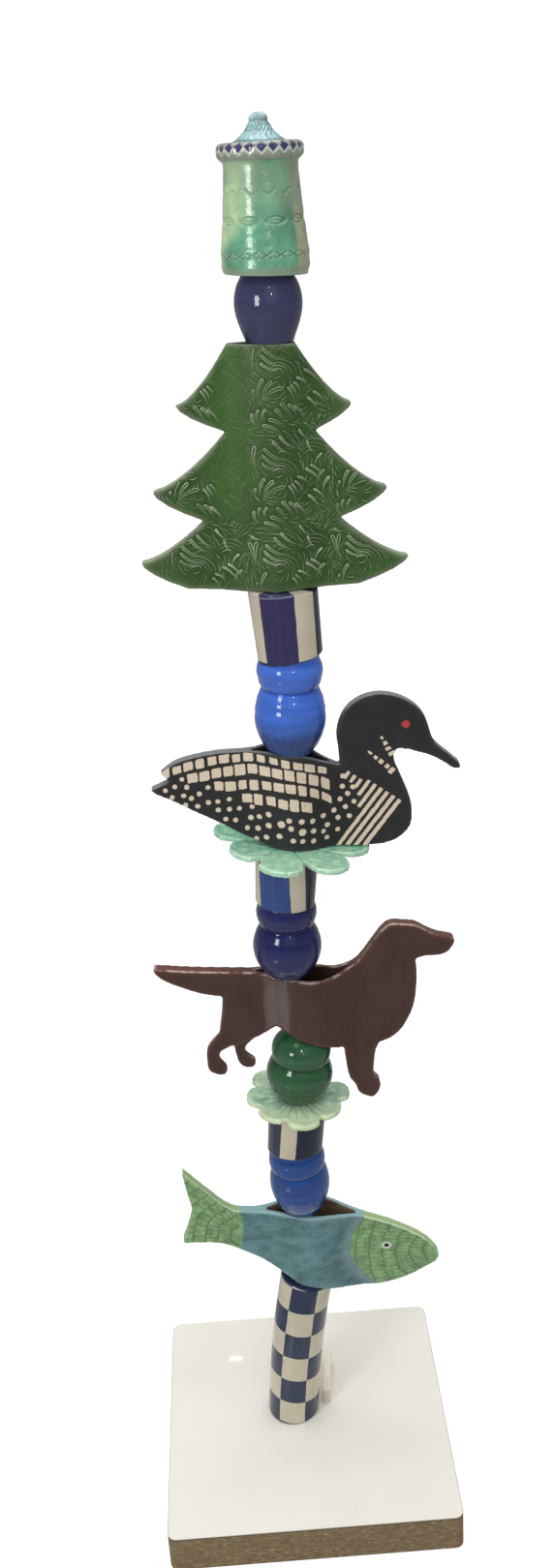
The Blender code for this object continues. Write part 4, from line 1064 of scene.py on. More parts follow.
def turned_mesh(node, turning, relief, rows=64, columns=None, soft=None, soft_top=None):
    """Skin a turned piece with fine rows, worn ends and a relief."""
    columns = columns or clay().columns
    soft = soft or clay().soft_edge
    soft_top = soft_top or soft
    angle = (np.arange(columns) / columns - 0.5) * math.tau
    low = turning.end_height(angle, turning.foot, turning.foot_normal)
    high = turning.end_height(angle, turning.head, turning.head_normal)
    rings = [low + soft * step for step in END_RINGS]
    rings += [low + soft + (high - low - soft - soft_top) * step
              for step in np.linspace(0.0, 1.0, rows)[1:-1]]
    rings += [high - soft_top * step for step in END_RINGS[::-1]]
    up = np.array(rings)
    near_foot = np.clip(1.0 - (up - low) / soft, 0.0, 1.0)
    near_head = np.clip(1.0 - (high - up) / soft_top, 0.0, 1.0)
    inset = soft * (1 - np.sqrt(1 - near_foot ** 2)) + soft_top * (1 - np.sqrt(1 - near_head ** 2))
    radius = turning.radius(up) - inset
    turns = np.degrees(np.broadcast_to(angle, up.shape))
    offset, pressed = relief(turns, up / turning.height, radius)
    radius = radius - offset
    place = turning.foot + up[..., None] * turning.axis + turning.drift(up)
    place = place + radius[..., None] * turning.direction(angle)[None, :, :]
    points = place.reshape(-1, 3)
    faces = []
    unrolled = []

    def add(corners, places, flip=False):
        """One face, and where each of its corners lies round and up the piece."""
        faces.append([int(i) for i in (corners[::-1] if flip else corners)])
        unrolled.extend(places[::-1] if flip else places)

    ids = np.arange(up.size).reshape(up.shape)
    for i in range(len(up) - 1):
        for j in range(columns):
            k = (j + 1) % columns
            add((ids[i, j], ids[i, k], ids[i + 1, k], ids[i + 1, j]),
                [(turn / columns, up[row, turn % columns] / turning.height)
                 for row, turn in ((i, j), (i, j + 1), (i + 1, j + 1), (i + 1, j))])
    for flip, ring, middle in ((False, ids[0], turning.foot), (True, ids[-1], turning.head)):
        level = float(flip)
        last = ring
        for shrink in (0.8, 0.4):
            inner = np.arange(len(points), len(points) + columns)
            points = np.vstack([points, middle + (points[ring] - middle) * shrink])
            for j in range(columns):
                k = (j + 1) % columns
                near, far = (j / columns, level), ((j + 1) / columns, level)
                add((last[k], last[j], inner[j], inner[k]), [far, near, near, far], flip)
            last = inner
        for j in range(columns):
            add((last[(j + 1) % columns], last[j], len(points)),
                [((j + step) / columns, level) for step in (1, 0, 0.5)], flip)
        points = np.vstack([points, middle])
    mesh = bpy.data.meshes.new(node + "_clay")
    mesh.from_pydata(points.tolist(), [], faces)
    layer = mesh.uv_layers.new(name="skin")
    layer.data.foreach_set("uv", np.array(unrolled, dtype=np.float32).ravel())
    mark_shape(mesh)
    add_mark(mesh, "press", np.append(pressed, np.zeros(len(points) - pressed.size)))
    return mesh


def thrown(seed, rings=1.0, wobble=0.0003):
    """Finger rings and the slight wobble of a hand-thrown wall."""
    chance = random.Random(seed)
    waves = [(chance.uniform(9, 34), chance.uniform(0, math.tau), chance.uniform(-1.2, 1.2))
             for _ in range(5)]
    bends = [(k, chance.uniform(0, math.tau), chance.uniform(0, 2.5)) for k in (1, 2, 3)]
    depth = clay().throwing * rings

    def relief(degrees, up, radius):
        turn = np.radians(degrees)
        ring = sum(np.sin(pitch * up * math.pi + phase + skew * np.sin(turn))
                   for pitch, phase, skew in waves) / len(waves)
        bend = sum(np.cos(k * turn + phase + lift * up) / k for k, phase, lift in bends) / 1.8
        offset = depth * (0.5 - 0.5 * ring) + wobble * (0.5 - 0.5 * bend)
        return offset, np.zeros_like(offset)
    return relief


def with_groove(base, level, depth, width):
    """Sharpen the groove between two bulges."""
    def relief(degrees, up, radius):
        offset, pressed = base(degrees, up, radius)
        return offset + depth * bump_line(up - level, width), pressed
    return relief


def softened(node, grain, passes=5):
    """A figure's solid in fine even facets, with its edges rounded as if by a wet finger."""
    shape = bmesh.new()
    shape.from_mesh(SOLIDS[node].data)
    bmesh.ops.remove_doubles(shape, verts=shape.verts, dist=0.00002)
    welded = bpy.data.meshes.new(node + "_clay")
    shape.to_mesh(welded)
    shape.free()
    rough = bpy.data.objects.new(node + "_rough", welded)
    bpy.context.scene.collection.objects.link(rough)
    remesh = rough.modifiers.new("Even facets", "REMESH")
    remesh.mode = "VOXEL"
    remesh.voxel_size = grain
    graph = bpy.context.evaluated_depsgraph_get()
    mesh = bpy.data.meshes.new_from_object(rough.evaluated_get(graph))
    bpy.data.objects.remove(rough, do_unlink=True)
    set_points(mesh, relaxed(points_of(mesh), edges_of(mesh), passes))
    return mesh


def refine(mesh, wanted):
    """Halve the faces whose middle passes a test, so that fine stamps can be pressed there."""
    shape = bmesh.new()
    shape.from_mesh(mesh)
    shape.normal_update()
    chosen = set()
    for face in shape.faces:
        if wanted(face.calc_center_median(), face.normal):
            chosen.update(face.edges)
    bmesh.ops.subdivide_edges(shape, edges=list(chosen), cuts=1, use_grid_fill=True)
    shape.to_mesh(mesh)
    shape.free()
    mesh.update()


# ---------------------------------------------------------------- pieces

HEAD_BAND = 14.6              # between the arcs on the fish's head, in mm
HEAD_RIB = 3.6                # between the ribs there
TAIL_BAND = 13.0
TAIL_RIB = 9.0                # between the ribs on its tail, in degrees


def outer_side(points, normals):
    """1 on the two outer faces of a figure, and 0 on its edges and inside."""
    return ramp(np.sign(points[:, 1] - POLE_Y) * normals[:, 1], 0.7, 0.2)


def fish_scales(points, normals):
    """Arcs and short ribs pressed into the head and the tail."""
    x = points[:, 0] / MM - FISH_SEAT[0]
    z = points[:, 2] / MM - FISH_SEAT[1]
    bow = np.maximum(33.0 + (111.0 - x) * 2.0, 20.0)
    arc = x - (z - 24.0) ** 2 / (2 * bow)
    arc = arc + 0.7 * np.sin(z * 0.31)
    band = (arc - 52.5) / HEAD_BAND
    fan = (247.0 - x) / 110.0
    rib = off_whole((z - 17.0) / fan / HEAD_RIB + 0.5 * (np.floor(band) % 2)) * HEAD_RIB * fan
    inner = ramp(np.abs(band - np.floor(band) - 0.5), 0.06, 0.1)
    head = bump_line(off_whole(band) * HEAD_BAND, 0.8)
    head = head + 0.85 * bump_line(rib, 0.60) * (0.45 + 0.55 * inner)
    head *= ramp(arc, 50.5, 2.0) * ramp(x, 137.0, -5.0)
    away = np.hypot(x + 66.0, z - 62.0)
    turn = np.degrees(np.arctan2(z - 62.0, -(x + 66.0)))
    band = (away + 0.8 * np.sin(turn * 0.13)) / TAIL_BAND
    rib = off_whole(turn / TAIL_RIB + 0.5 * (np.floor(band) % 2)) * TAIL_RIB * np.radians(away)
    tail = bump_line(off_whole(band) * TAIL_BAND, 0.8) + 0.85 * bump_line(rib, 0.65)
    tail *= ramp(x, -67.5, -2.5) * ramp(away, 8.0, 4.0)
    eye = ramp(np.hypot(x - FISH_EYE[0], z - FISH_EYE[1]), 5.5, 2.0)
    return np.clip(np.where(x > 0, head, tail), 0, 1) * outer_side(points, normals) * eye


def build_fish():
    mesh = softened("fish", clay().grain)
    head = (FISH_SEAT[0] + 45.0) * MM
    tail = (FISH_SEAT[0] - 62.0) * MM

    def wanted(middle, normal):
        out = (1 if middle.y > POLE_Y else -1) * normal.y
        return out > 0.7 and (middle.x > head or middle.x < tail)
    refine(mesh, wanted)
    mark_shape(mesh, *FIGURE_WEAR)
    points, normals = points_of(mesh), normals_of(mesh)
    pressed = fish_scales(points, normals)
    set_points(mesh, points - normals * (pressed * clay().stamp)[:, None])
    add_mark(mesh, "press", pressed)
    put("fish", mesh, fish_finish())


def build_dog():
    mesh = softened("dog", clay().grain, 12)
    mark_shape(mesh, *FIGURE_WEAR)
    put("dog", mesh, dog_finish())


def build_loon():
    mesh = softened("loon", clay().grain)
    mark_shape(mesh, *FIGURE_WEAR)
    put("loon", mesh, loon_finish())


STAMP_LEAVES = (
    # head, tail, bend and width of each leaf of the stamp, in mm from the eye of the motif
    (-11.0, -4.0, -16.0, -20.0, 2.0, 2.2), (-4.0, -6.3, -12.7, -22.0, 2.2, 2.4),
    (4.8, -12.0, -16.0, -25.4, 4.0, 2.6), (-19.0, -12.5, -19.5, -16.0, 0.0, 1.6),
    (9.5, -12.0, 14.0, -24.6, -1.6, 1.6), (12.2, -10.5, 16.5, -21.0, -1.4, 1.5),
    (15.0, -8.5, 20.0, -17.0, -1.4, 1.5), (-21.4, -32.0, -17.5, -42.0, 2.0, 2.2),
    (-16.0, -28.6, -17.0, -37.5, 1.6, 1.8), (-10.3, -28.6, -12.7, -37.5, 1.8, 1.8),
    (-1.6, -29.4, 4.6, -38.6, -1.2, 2.2), (3.2, -24.6, 11.5, -38.3, -1.4, 2.2),
    (9.5, -26.0, 16.0, -36.7, -1.4, 2.2), (14.3, -27.8, 23.5, -40.0, -1.6, 1.9),
    (-7.0, -36.5, 6.5, -45.2, -1.4, 2.4), (-12.7, -41.3, 2.5, -50.0, -2.4, 2.2),
    (24.6, 0.8, 38.5, -14.5, -2.0, 1.7), (29.0, 3.4, 41.0, -9.0, -1.6, 1.5),
    (17.5, -5.0, 27.0, -13.0, -1.6, 1.5), (-9.5, 20.6, 13.5, 11.0, 4.2, 2.2),
    (-11.0, 15.0, 10.0, 5.8, 4.0, 2.0), (-12.0, 8.6, 6.0, 4.0, 3.4, 1.8),
    (-23.8, 22.0, -21.4, -1.0, -2.6, 2.6), (-17.5, 22.5, -17.8, 0.5, 2.0, 2.6),
    (-21.5, 28.0, -11.5, 25.6, 1.6, 1.6), (-2.0, 26.5, 15.5, 13.5, 2.6, 2.0),
    (4.0, 30.0, 20.0, 17.0, 2.2, 1.8), (-31.5, -2.0, -38.5, -14.0, 2.4, 1.9),
    (-27.5, -8.0, -33.0, -22.0, 2.4, 1.9), (-33.0, 12.0, -40.0, 0.0, 2.0, 1.5),
    (26.0, -22.0, 34.0, -34.0, -1.8, 1.7), (31.0, -17.5, 40.0, -28.0, -1.8, 1.5),
    (20.5, 34.0, 30.5, 24.0, 1.6, 1.5), (27.0, 24.0, 33.5, 12.0, 1.6, 1.5),
)
STAMP_ARCS = (
    # middle, radius, first and last direction of each plain arc of the stamp
    (0.0, 0.5, 3.0, 175.0, 20.0), (1.0, -0.5, 5.4, 160.0, -10.0), (1.5, -1.0, 8.6, 150.0, 5.0),
    (0.5, 0.0, 4.0, -20.0, -130.0), (1.0, -2.0, 12.5, 120.0, 0.0), (1.5, -3.0, 16.5, 105.0, -5.0),
    (-42.0, 10.0, 7.0, 150.0, 60.0), (-42.0, 10.0, 10.5, 140.0, 40.0),
    (-42.0, 10.0, 14.0, 128.0, 35.0), (-42.0, 10.0, 18.0, 110.0, 30.0),
)


def leaf(x, z, tail_x, tail_z, bend, width):
    """The outline of one leaf, from its tail round its head and part of the way back."""
    middle = ((x + tail_x) / 2, (z + tail_z) / 2)
    size = math.hypot(x - tail_x, z - tail_z)
    along = ((x - tail_x) / size, (z - tail_z) / size)
    aside = (-along[1], along[0])
    knee = (middle[0] + aside[0] * bend * 1.7, middle[1] + aside[1] * bend * 1.7)

    def spine(share, off):
        one, two, three = (1 - share) ** 2, 2 * share * (1 - share), share ** 2
        return (one * tail_x + two * knee[0] + three * x + aside[0] * off,
                one * tail_z + two * knee[1] + three * z + aside[1] * off)
    half = (width * 1.35 - 0.8) / 2
    path = [spine(share, -half * share ** 0.7) for share in (0.0, 0.22, 0.44, 0.66, 0.86, 0.97)]
    path += [(x + along[0] * half * 0.7, z + along[1] * half * 0.7)]
    path += [spine(share, half * share ** 0.7) for share in (0.97, 0.84, 0.66, 0.48, 0.30)]
    bright = (0.10, 0.25, 0.45, 0.65, 0.9, 1.0, 1.0, 1.0, 0.8, 0.6, 0.4, 0.10)
    return path, bright


def plain_arc(x, z, radius, start, end):
    """A thin faint arc."""
    steps = max(6, int(radius * 1.2))
    path = []
    for i in range(steps):
        turn = math.radians(start + (end - start) * i / (steps - 1))
        path.append((x + radius * math.cos(turn), z + radius * 0.85 * math.sin(turn)))
    worn = 0.85 if radius < 10.0 else 0.5
    bright = [worn * math.sin(math.pi * (i + 0.5) / steps) for i in range(steps)]
    return path, bright


STROKE_FOOT = 0.00015         # how deep the sides of a stroke sink into the tree
THIN_SLAB = 0.003             # nearer than this to the middle, the ray has passed through a gap


def ridge(path, bright, width, height, face, side):
    """A stroke of clay laid along a path on the tree's face, with its brightness."""
    hits = []
    for x, z in path:
        origin = Vector(((x + TREE_SEAT[0]) * MM, POLE_Y + side * 0.1, (z + TREE_SEAT[1]) * MM))
        place, normal, _, _ = face.ray_cast(origin, Vector((0.0, -side, 0.0)), 0.11)
        if place is None or normal.y * side < 0.75 or (place.y - POLE_Y) * side < THIN_SLAB:
            break
        hits.append((place, normal))
    if len(hits) < 4:
        return [], []
    last = len(hits) - 1
    points = []
    lit = []
    for i, (place, normal) in enumerate(hits):
        ahead = hits[min(i + 1, last)][0] - hits[max(i - 1, 0)][0]
        across = normal.cross(ahead).normalized()
        taper = 0.35 if i in (0, last) else 0.7 + 0.3 * bright[i]
        half = width / 2 * MM * taper
        points += [place - across * half - normal * STROKE_FOOT, place + normal * height * taper,
                   place + across * half - normal * STROKE_FOOT]
        lit += [bright[i] * 0.45, bright[i], bright[i] * 0.45]
    return points, lit


def flow_stroke(x, z, middle, chance):
    """A short faint stroke that swirls round the nearest eye of the stamp."""
    away = math.hypot(x - middle[0], z - middle[1])
    turn = math.atan2(z - middle[1], x - middle[0]) + math.radians(-78 + 30 * math.sin(away / 7.0))
    curl = chance.uniform(-0.16, -0.05)
    path = []
    for _ in range(6):
        path.append((x, z))
        x += 1.25 * math.cos(turn)
        z += 1.25 * math.sin(turn)
        turn += curl
    return path, (0.5, 0.9, 1.0, 0.8, 0.5, 0.2)


def tree_strokes(chance):
    """Every stroke of one face as (path, brightness along it, width, share)."""
    strokes = []
    eyes = []
    for column in (-2, -1, 0, 1, 2):
        for row in (-1, 0, 1, 2, 3):
            middle = (4.6 + 72.0 * column + 3.2 * row, 22.0 + 81.0 * row)
            eyes.append(middle)
            made = [leaf(*one) + (0.95,) for one in STAMP_LEAVES]
            made += [plain_arc(*one) + (0.8,) for one in STAMP_ARCS]
            for path, bright, width in made:
                path = [(x + middle[0], z + middle[1]) for x, z in path]
                strokes.append((path, bright, width * chance.uniform(0.9, 1.15), 1.0))
    taken = KDTree(sum(len(stroke[0]) for stroke in strokes))
    for stroke in strokes:
        for x, z in stroke[0]:
            taken.insert((x, z, 0.0), 0)
    taken.balance()
    for i in range(64):
        for j in range(54):
            x = -118.0 + 3.7 * i + chance.uniform(-1.1, 1.1)
            z = 2.0 + 3.9 * j + chance.uniform(-1.1, 1.1)
            if taken.find((x, z, 0.0))[2] < 2.3:
                continue
            middle = min(eyes, key=lambda eye: math.hypot(x - eye[0], z - eye[1]))
            path, bright = flow_stroke(x, z, middle, chance)
            strokes.append((path, bright, chance.uniform(0.6, 0.85), chance.uniform(0.25, 0.7)))
    return strokes


def tree_ridges(face):
    """The strokes of both faces as clay: its points, faces and brightness."""
    chance = random.Random(31)
    points, faces, lit = [], [], []
    for side in (-1, 1):
        for path, bright, width, share in tree_strokes(chance):
            x, z = path[len(path) // 2]
            worn = noise.noise(Vector((x * 0.03, z * 0.03, side * 3.0 + 0.5)))
            share *= min(max(0.9 + worn * 0.9, 0.3), 1.0) * chance.uniform(0.75, 1.0)
            if z > 62.0 and abs(x + 31.0 - (z - 120.0) * 0.05) < 17.0:
                share *= 0.15
            height = clay().stroke * (0.4 + 0.6 * share)
            made, glow = ridge(path, bright, width, height, face, side)
            for one in range(len(points), len(points) + len(made) - 3, 3):
                faces.append((one, one + 1, one + 4, one + 3))
                faces.append((one + 1, one + 2, one + 5, one + 4))
            points += made
            lit += [min(one * share, 1.0) for one in glow]
    return points, faces, lit


def build_tree():
    """The tree with the strokes of its stamp standing proud."""
    mesh = softened("tree", clay().grain * 1.15)
    bare = len(mesh.vertices)
    face = BVHTree.FromPolygons(points_of(mesh).tolist(), [p.vertices[:] for p in mesh.polygons])
    points, faces, lit = tree_ridges(face)
    strokes = bpy.data.meshes.new("tree_strokes")
    strokes.from_pydata([tuple(point) for point in points], [], faces)
    merged = bmesh.new()
    merged.from_mesh(mesh)
    merged.from_mesh(strokes)
    inward = [face for face in list(merged.faces)[len(mesh.polygons):]
              if face.normal.y * (face.calc_center_median().y - POLE_Y) < 0]
    bmesh.ops.reverse_faces(merged, faces=inward)
    merged.to_mesh(mesh)
    merged.free()
    mesh.update()
    mark_shape(mesh, *FIGURE_WEAR)
    near = KDTree(len(points) // 3)
    for i, place in enumerate(points[1::3]):
        near.insert(place, i)
    near.balance()
    pool = np.zeros(len(mesh.vertices))
    for i, place in enumerate(points_of(mesh)[:bare].tolist()):
        _, index, away = near.find(place)
        pool[i] = math.exp(-(away / 0.0030) ** 2) * min(lit[index * 3 + 1] * 1.6, 1.0)
    add_mark(mesh, "pool", pool)
    add_mark(mesh, "ridge", np.concatenate([np.zeros(bare), np.array(lit)]))
    put("tree", mesh, tree_finish())


LOW_PETALS = (-133, -85, -36, 15, 57, 95, 132, 178)
TOP_PETALS = (-96, -48, -1, 51, 101, 149, -160)


def off_angle(turn, angle):
    """How many degrees each direction lies from an angle."""
    return np.abs((turn - angle + 180) % 360 - 180)


def build_flower(node, petals, middle, tilt, finish, veins, rim):
    """A flat flower with a raised rim, cut lines between its petals and fine veins."""
    mesh = softened(node, 0.0011, 6)
    flat = np.array(Matrix.Rotation(math.radians(tilt), 3, "Y"))
    points = points_of(mesh)
    local = (points / MM - np.array(middle)) @ flat
    away = np.hypot(local[:, 0], local[:, 1])
    turn = np.degrees(np.arctan2(local[:, 1], local[:, 0])) % 360
    reach = [away[off_angle(turn, angle) < 1.5].max() for angle in range(360)]
    edge = np.interp(turn, np.arange(361), reach + reach[:1])
    vein = np.zeros(len(points))
    between = np.full(len(points), 99.0)
    order = sorted(angle % 360 for angle in petals)
    for one, two in zip(order, order[1:] + [order[0] + 360]):
        between = np.minimum(between, np.radians(off_angle(turn, (one + two) / 2)) * away)
        for offset in veins:
            line = one + offset + 2.5 * math.sin(one)
            bent = turn + 2.0 * np.sin(away * 0.16 + one)
            fade = ramp(away, 12, 8) * ramp(away, edge * 0.86, -8)
            drawn = bump_line(np.radians(off_angle(bent, line)) * away, 0.8)
            vein = np.maximum(vein, drawn * fade)
    cut = bump_line(between, 1.3) * ramp(away, 12, 6)
    inner = ramp(away, edge - 3.5, -rim)
    inner = inner * inner * (3 - 2 * inner)
    up = (normals_of(mesh) @ flat)[:, 2]
    level = ramp(np.abs(up), 0.6, 0.3)
    top = level * (up > 0)
    depth = clay().vein
    sink = top * (depth * 0.55 * inner + depth * 0.7 * vein + depth * 0.9 * cut)
    cloud = np.array([noise.noise(Vector(point) * 0.11) for point in local.tolist()])
    sink += level * 0.0003 * (0.5 + 0.5 * cloud)
    set_points(mesh, points - normals_of(mesh) * sink[:, None])
    mark_shape(mesh, *FLOWER_WEAR)
    add_mark(mesh, "vein", np.maximum(vein, cut * 0.8) * top)
    put(node, mesh, finish)


FINIAL_STAMPS = (
    # level and height as shares of the finial's, number round it, phase and kind of each row
    (0.520, 0.020, 15, 0.2, "wave"), (0.345, 0.026, 9, 0.6, "leaf"),
    (0.130, 0.026, 19, 0.0, "cross"),
)
RIM_LEVEL = 0.770
RIM_RADIUS = 0.0343


def stamped(kind, unit, lift, degrees):
    """One row of stamps, from 0 to 1."""
    if kind == "wave":
        mark = bump_line(np.abs(lift - 0.8 * np.cos(unit * math.pi)), 0.6)
        return mark * (np.abs(lift) < 2) * (0.75 + 0.25 * np.sin(degrees * 0.21))
    if kind == "leaf":
        ring = np.hypot(unit * 1.15, lift * 0.85)
        vein = bump_line(lift + 0.25 * unit, 0.26) * (ring < 0.6)
        return bump_line(ring - 0.75, 0.28) + 0.8 * vein
    mark = bump_line(unit - lift, 0.3) + bump_line(unit + lift, 0.3)
    return mark * (np.hypot(unit, lift) < 1.1) + bump_line(np.abs(lift) - 1.05, 0.16) * 0.5


def finial_relief(base):
    """Rows of stamps round the drum and carved strokes up the roof."""
    def relief(degrees, up, radius):
        offset, _ = base(degrees, up, radius)
        stamp = np.zeros_like(offset)
        for level, tall, count, phase, kind in FINIAL_STAMPS:
            step = degrees / 360 * count + phase
            mark = stamped(kind, (step - np.round(step)) * 2, (up - level) / tall, degrees)
            stamp = np.maximum(stamp, np.clip(mark, 0, 1))
        offset = offset + 0.0011 * stamp - 0.0004 * bump_line(stamp - 0.45, 0.3) * (stamp > 0.02)
        roof = ramp(up, 0.825, 0.02) * ramp(up, 1.0, -0.012)
        flute = 0.5 + 0.5 * np.cos((degrees / 360 * 19 + 0.9 * np.sin(up * 46)) * math.tau)
        tier = 0.5 + 0.5 * np.cos((up - 0.83) / 0.058 * math.tau)
        carved = np.clip(flute ** 2 * 0.8 + tier ** 4 * 0.6, 0, 1) * roof
        offset = offset + 0.0010 * carved
        offset = offset + 0.0005 * bump_line((up - 0.707) * 400, 2.2)
        off_rim = np.abs(up - RIM_LEVEL)
        rise = np.clip(off_rim / 0.050, 0, 1.2)
        rim = RIM_RADIUS * (1 - 0.09 * rise ** 4) - 0.0004 * np.cos(np.radians(degrees) * 22)
        offset = np.where(off_rim < 0.054, np.minimum(offset, radius - rim), offset)
        return offset, np.clip(stamp + carved * 0.8, 0, 1)
    return relief


def build_column():
    turning = Turning("checked_column", radius=COLUMN_RADIUS, bow=COLUMN_BOW)
    mesh = turned_mesh("checked_column", turning, thrown(5, 0.6, 0.0004), soft=0.0018)
    put("checked_column", mesh, check_finish())


def build_beads():
    paint = glazes()
    beads = (
        # piece, slot, colour, level of its groove, paleness, share of the painted shade left off
        # its lower part, painted glare ring
        ("blue_bead", "blue_glaze", paint.lake_blue, 0.70, 1.25, 0.75,
         (0.135, 0.02, (0.25, 0.33, 0.45))),
        ("green_bead", "green_glaze", paint.pine, 0.605, 1.3, 0.65, None),
        ("navy_bead", "navy_glaze", paint.navy, 0.70, 1.2, 0.8, None),
        ("sky_blue_bead", "sky_glaze", paint.sky, 0.685, 1.05, 0.05, None),
        ("cobalt_bead", "navy_glaze", paint.cobalt, None, 1.2, 0.9, None),
    )
    for number, (node, slot_name, tone, groove, pale, foot, ring) in enumerate(beads):
        relief = thrown(40 + number)
        if groove:
            relief = with_groove(relief, groove, 0.0007, 0.014)
        mesh = turned_mesh(node, Turning(node), relief)
        put(node, mesh, bead_finish(node + "_glaze", tone, pale, foot, ring))


def build_cylinders():
    paint = glazes()
    cylinders = (
        # piece, dark colour, cream stripes, slant, where the painted shade of the right side
        # starts
        ("lower_striped_cylinder", paint.ink,
         ((-19.0, 34.0), (96.0, 38.0), (205.0, 36.0)), -3.0, -8.0),
        ("middle_striped_cylinder", paint.royal,
         ((-80.0, 38.0), (20.0, 32.0), (120.0, 40.0), (205.0, 34.0)), 10.0, 30.0),
        ("upper_striped_cylinder", paint.indigo,
         ((-64.0, 36.0), (34.0, 40.0), (131.0, 42.0), (216.0, 30.0)), -3.0, 44.0),
    )
    for number, (node, dark, cream, slant, beyond) in enumerate(cylinders):
        mesh = turned_mesh(node, Turning(node), thrown(70 + number, 0.5), rows=40)
        put(node, mesh, stripe_finish(node + "_glaze", dark, cream, slant, beyond))


def build_flowers():
    paint = glazes()
    low = flower_finish("lower_flower_glaze", paint.pale_celadon, (0.20, 0.44, 0.33),
                        (0.74, 0.82, 0.52), 0.5)
    build_flower("lower_flower", LOW_PETALS, (10.8, 12.0, 454.1), 4.0, low, (-8, 7), 6.0)
    top = flower_finish("upper_flower_glaze", paint.celadon, (0.14, 0.46, 0.34),
                        (0.68, 0.88, 0.64), 0.25)
    build_flower("upper_flower", TOP_PETALS, (14.9, 12.0, 738.2), 5.5, top, (), 8.0)


def build_finial():
    relief = finial_relief(thrown(90, 1.6, 0.0006))
    mesh = turned_mesh("finial", Turning("finial", blur=0.0011), relief, rows=230, columns=288,
                       soft_top=0.0022)
    put("finial", mesh, finial_finish())


# ---------------------------------------------------------------- studio

CAMERA_AT = (-0.0199, -1.2308, 1.3173)
CAMERA_RIGHT = (0.9975, -0.0454, -0.0548)
CAMERA_UP = (0.0680, 0.3814, 0.9219)
CAMERA_FORWARD = (0.0210, 0.9233, -0.3835)
FLOOR_GLOW = 0.85             # how bright the camera sees the floor
ROOM_GLOW = 1.02              # and the room
POLE_MIDDLE = (0.02, 0.0, 0.75)
WHITE = (1.0, 1.0, 1.0, 1.0)


def floor_finish(tone):
    """Matt paper that the camera sees as white."""
    look = Finish("floor_paper", specular=0.1)
    cloth = look.noise(look.place(), 0.004, 2.0)
    body = look.mix(cloth, tone, darker(tone, 0.97))
    look.shader.inputs["Emission Color"].default_value = WHITE
    feed(look.tree, look.node("LightPath", out="Is Camera Ray") * FLOOR_GLOW,
         look.shader.inputs["Emission Strength"])
    return look.wear(body, 0.9)


def build_floor(tone):
    shape = bmesh.new()
    bmesh.ops.create_circle(shape, cap_ends=True, segments=96, radius=40.0)
    mesh = bpy.data.meshes.new("studio_floor")
    shape.to_mesh(mesh)
    shape.free()
    mesh.materials.append(floor_finish(tone))
    floor = bpy.data.objects.new("studio_floor", mesh)
    floor.location = (0.0, 0.0, -0.0004)
    bpy.context.scene.collection.objects.link(floor)


def area_light(name, place, aim, size, energy, tint=(1.0, 1.0, 1.0)):
    lamp = bpy.data.lights.new(name, "AREA")
    lamp.shape = "RECTANGLE"
    lamp.size, lamp.size_y = size
    lamp.energy = energy
    lamp.color = tint
    thing = bpy.data.objects.new(name, lamp)
    bpy.context.scene.collection.objects.link(thing)
    thing.location = place
    thing.rotation_euler = (Vector(aim) - Vector(place)).to_track_quat("-Z", "Y").to_euler()
    thing.visible_camera = False


def build_lights(studio):
    area_light("window", (-1.34, -1.60, 1.42), (0.02, 0.0, 1.1), (0.50, 0.75), studio.key,
               (1.0, 0.99, 0.97))
    area_light("front", (0.6, -3.2, 2.6), POLE_MIDDLE, (2.6, 2.6), studio.fill)
    area_light("ceiling", (0.0, 0.1, 3.4), POLE_MIDDLE, (2.4, 2.4), studio.fill * 7.0)
    # glints on the left of the board
    area_light("back_lamp", (-0.128, 1.25, 1.164), (-0.077, 0.089, 0.043), (0.028, 0.008),
               studio.spark * 0.004)
    # lies unseen on the floor and gives the pale band on the dog's flank
    area_light("floor_patch", (-0.665, -0.665, 0.003), (-0.664, -0.665, 1.0), (0.20, 0.20),
               studio.spark * 0.12)
    area_light("lamp_near", (0.18, -1.6, 2.3), POLE_MIDDLE, (0.07, 0.12), studio.spark)
    area_light("lamp_far", (0.42, -1.9, 1.95), POLE_MIDDLE, (0.07, 0.07), studio.spark)


def build_room(studio):
    """A white room, bright to the camera and dim in the glazes."""
    world = bpy.data.worlds.new("white_room")
    world.use_nodes = True
    back = world.node_tree.nodes["Background"]
    back.inputs["Color"].default_value = WHITE
    room = Shade(world.node_tree)
    seen = room.node("LightPath", out="Is Camera Ray")
    gloss = room.node("LightPath", out="Is Glossy Ray")
    strength = gloss.between(studio.sky, studio.shine) + seen * (ROOM_GLOW - studio.sky)
    feed(world.node_tree, strength, back.inputs["Strength"])
    bpy.context.scene.world = world
    bpy.context.scene.view_settings.view_transform = "Standard"


def build_camera(lens):
    camera = bpy.data.cameras.new("camera")
    camera.sensor_width = 36.0
    camera.lens = lens
    camera.clip_start = 0.05
    camera.clip_end = 200.0
    view = bpy.data.objects.new("camera", camera)
    axes = Matrix((CAMERA_RIGHT, CAMERA_UP, -Vector(CAMERA_FORWARD)))
    view.matrix_world = Matrix.Translation(CAMERA_AT) @ axes.transposed().to_4x4()
    bpy.context.scene.collection.objects.link(view)
    bpy.context.scene.camera = view


def build_studio():
    studio = bpy.context.scene.totem_studio
    build_floor(studio.floor)
    build_lights(studio)
    build_room(studio)
    build_camera(studio.lens)


# ---------------------------------------------------------------- add-on

class TOTEM_OT_board(bpy.types.Operator):
    """Cover the base board with laminate and chipboard"""

    bl_idname = "totem.board"
    bl_label = "Board"

    def execute(self, context):
        cover(SOLIDS["base_board"].data, board_finish())
        return {"FINISHED"}


class TOTEM_OT_block(bpy.types.Operator):
    """Give the loose block its pine grain"""

    bl_idname = "totem.block"
    bl_label = "Wood block"

    def execute(self, context):
        cover(SOLIDS["wood_block"].data, wood_finish())
        return {"FINISHED"}


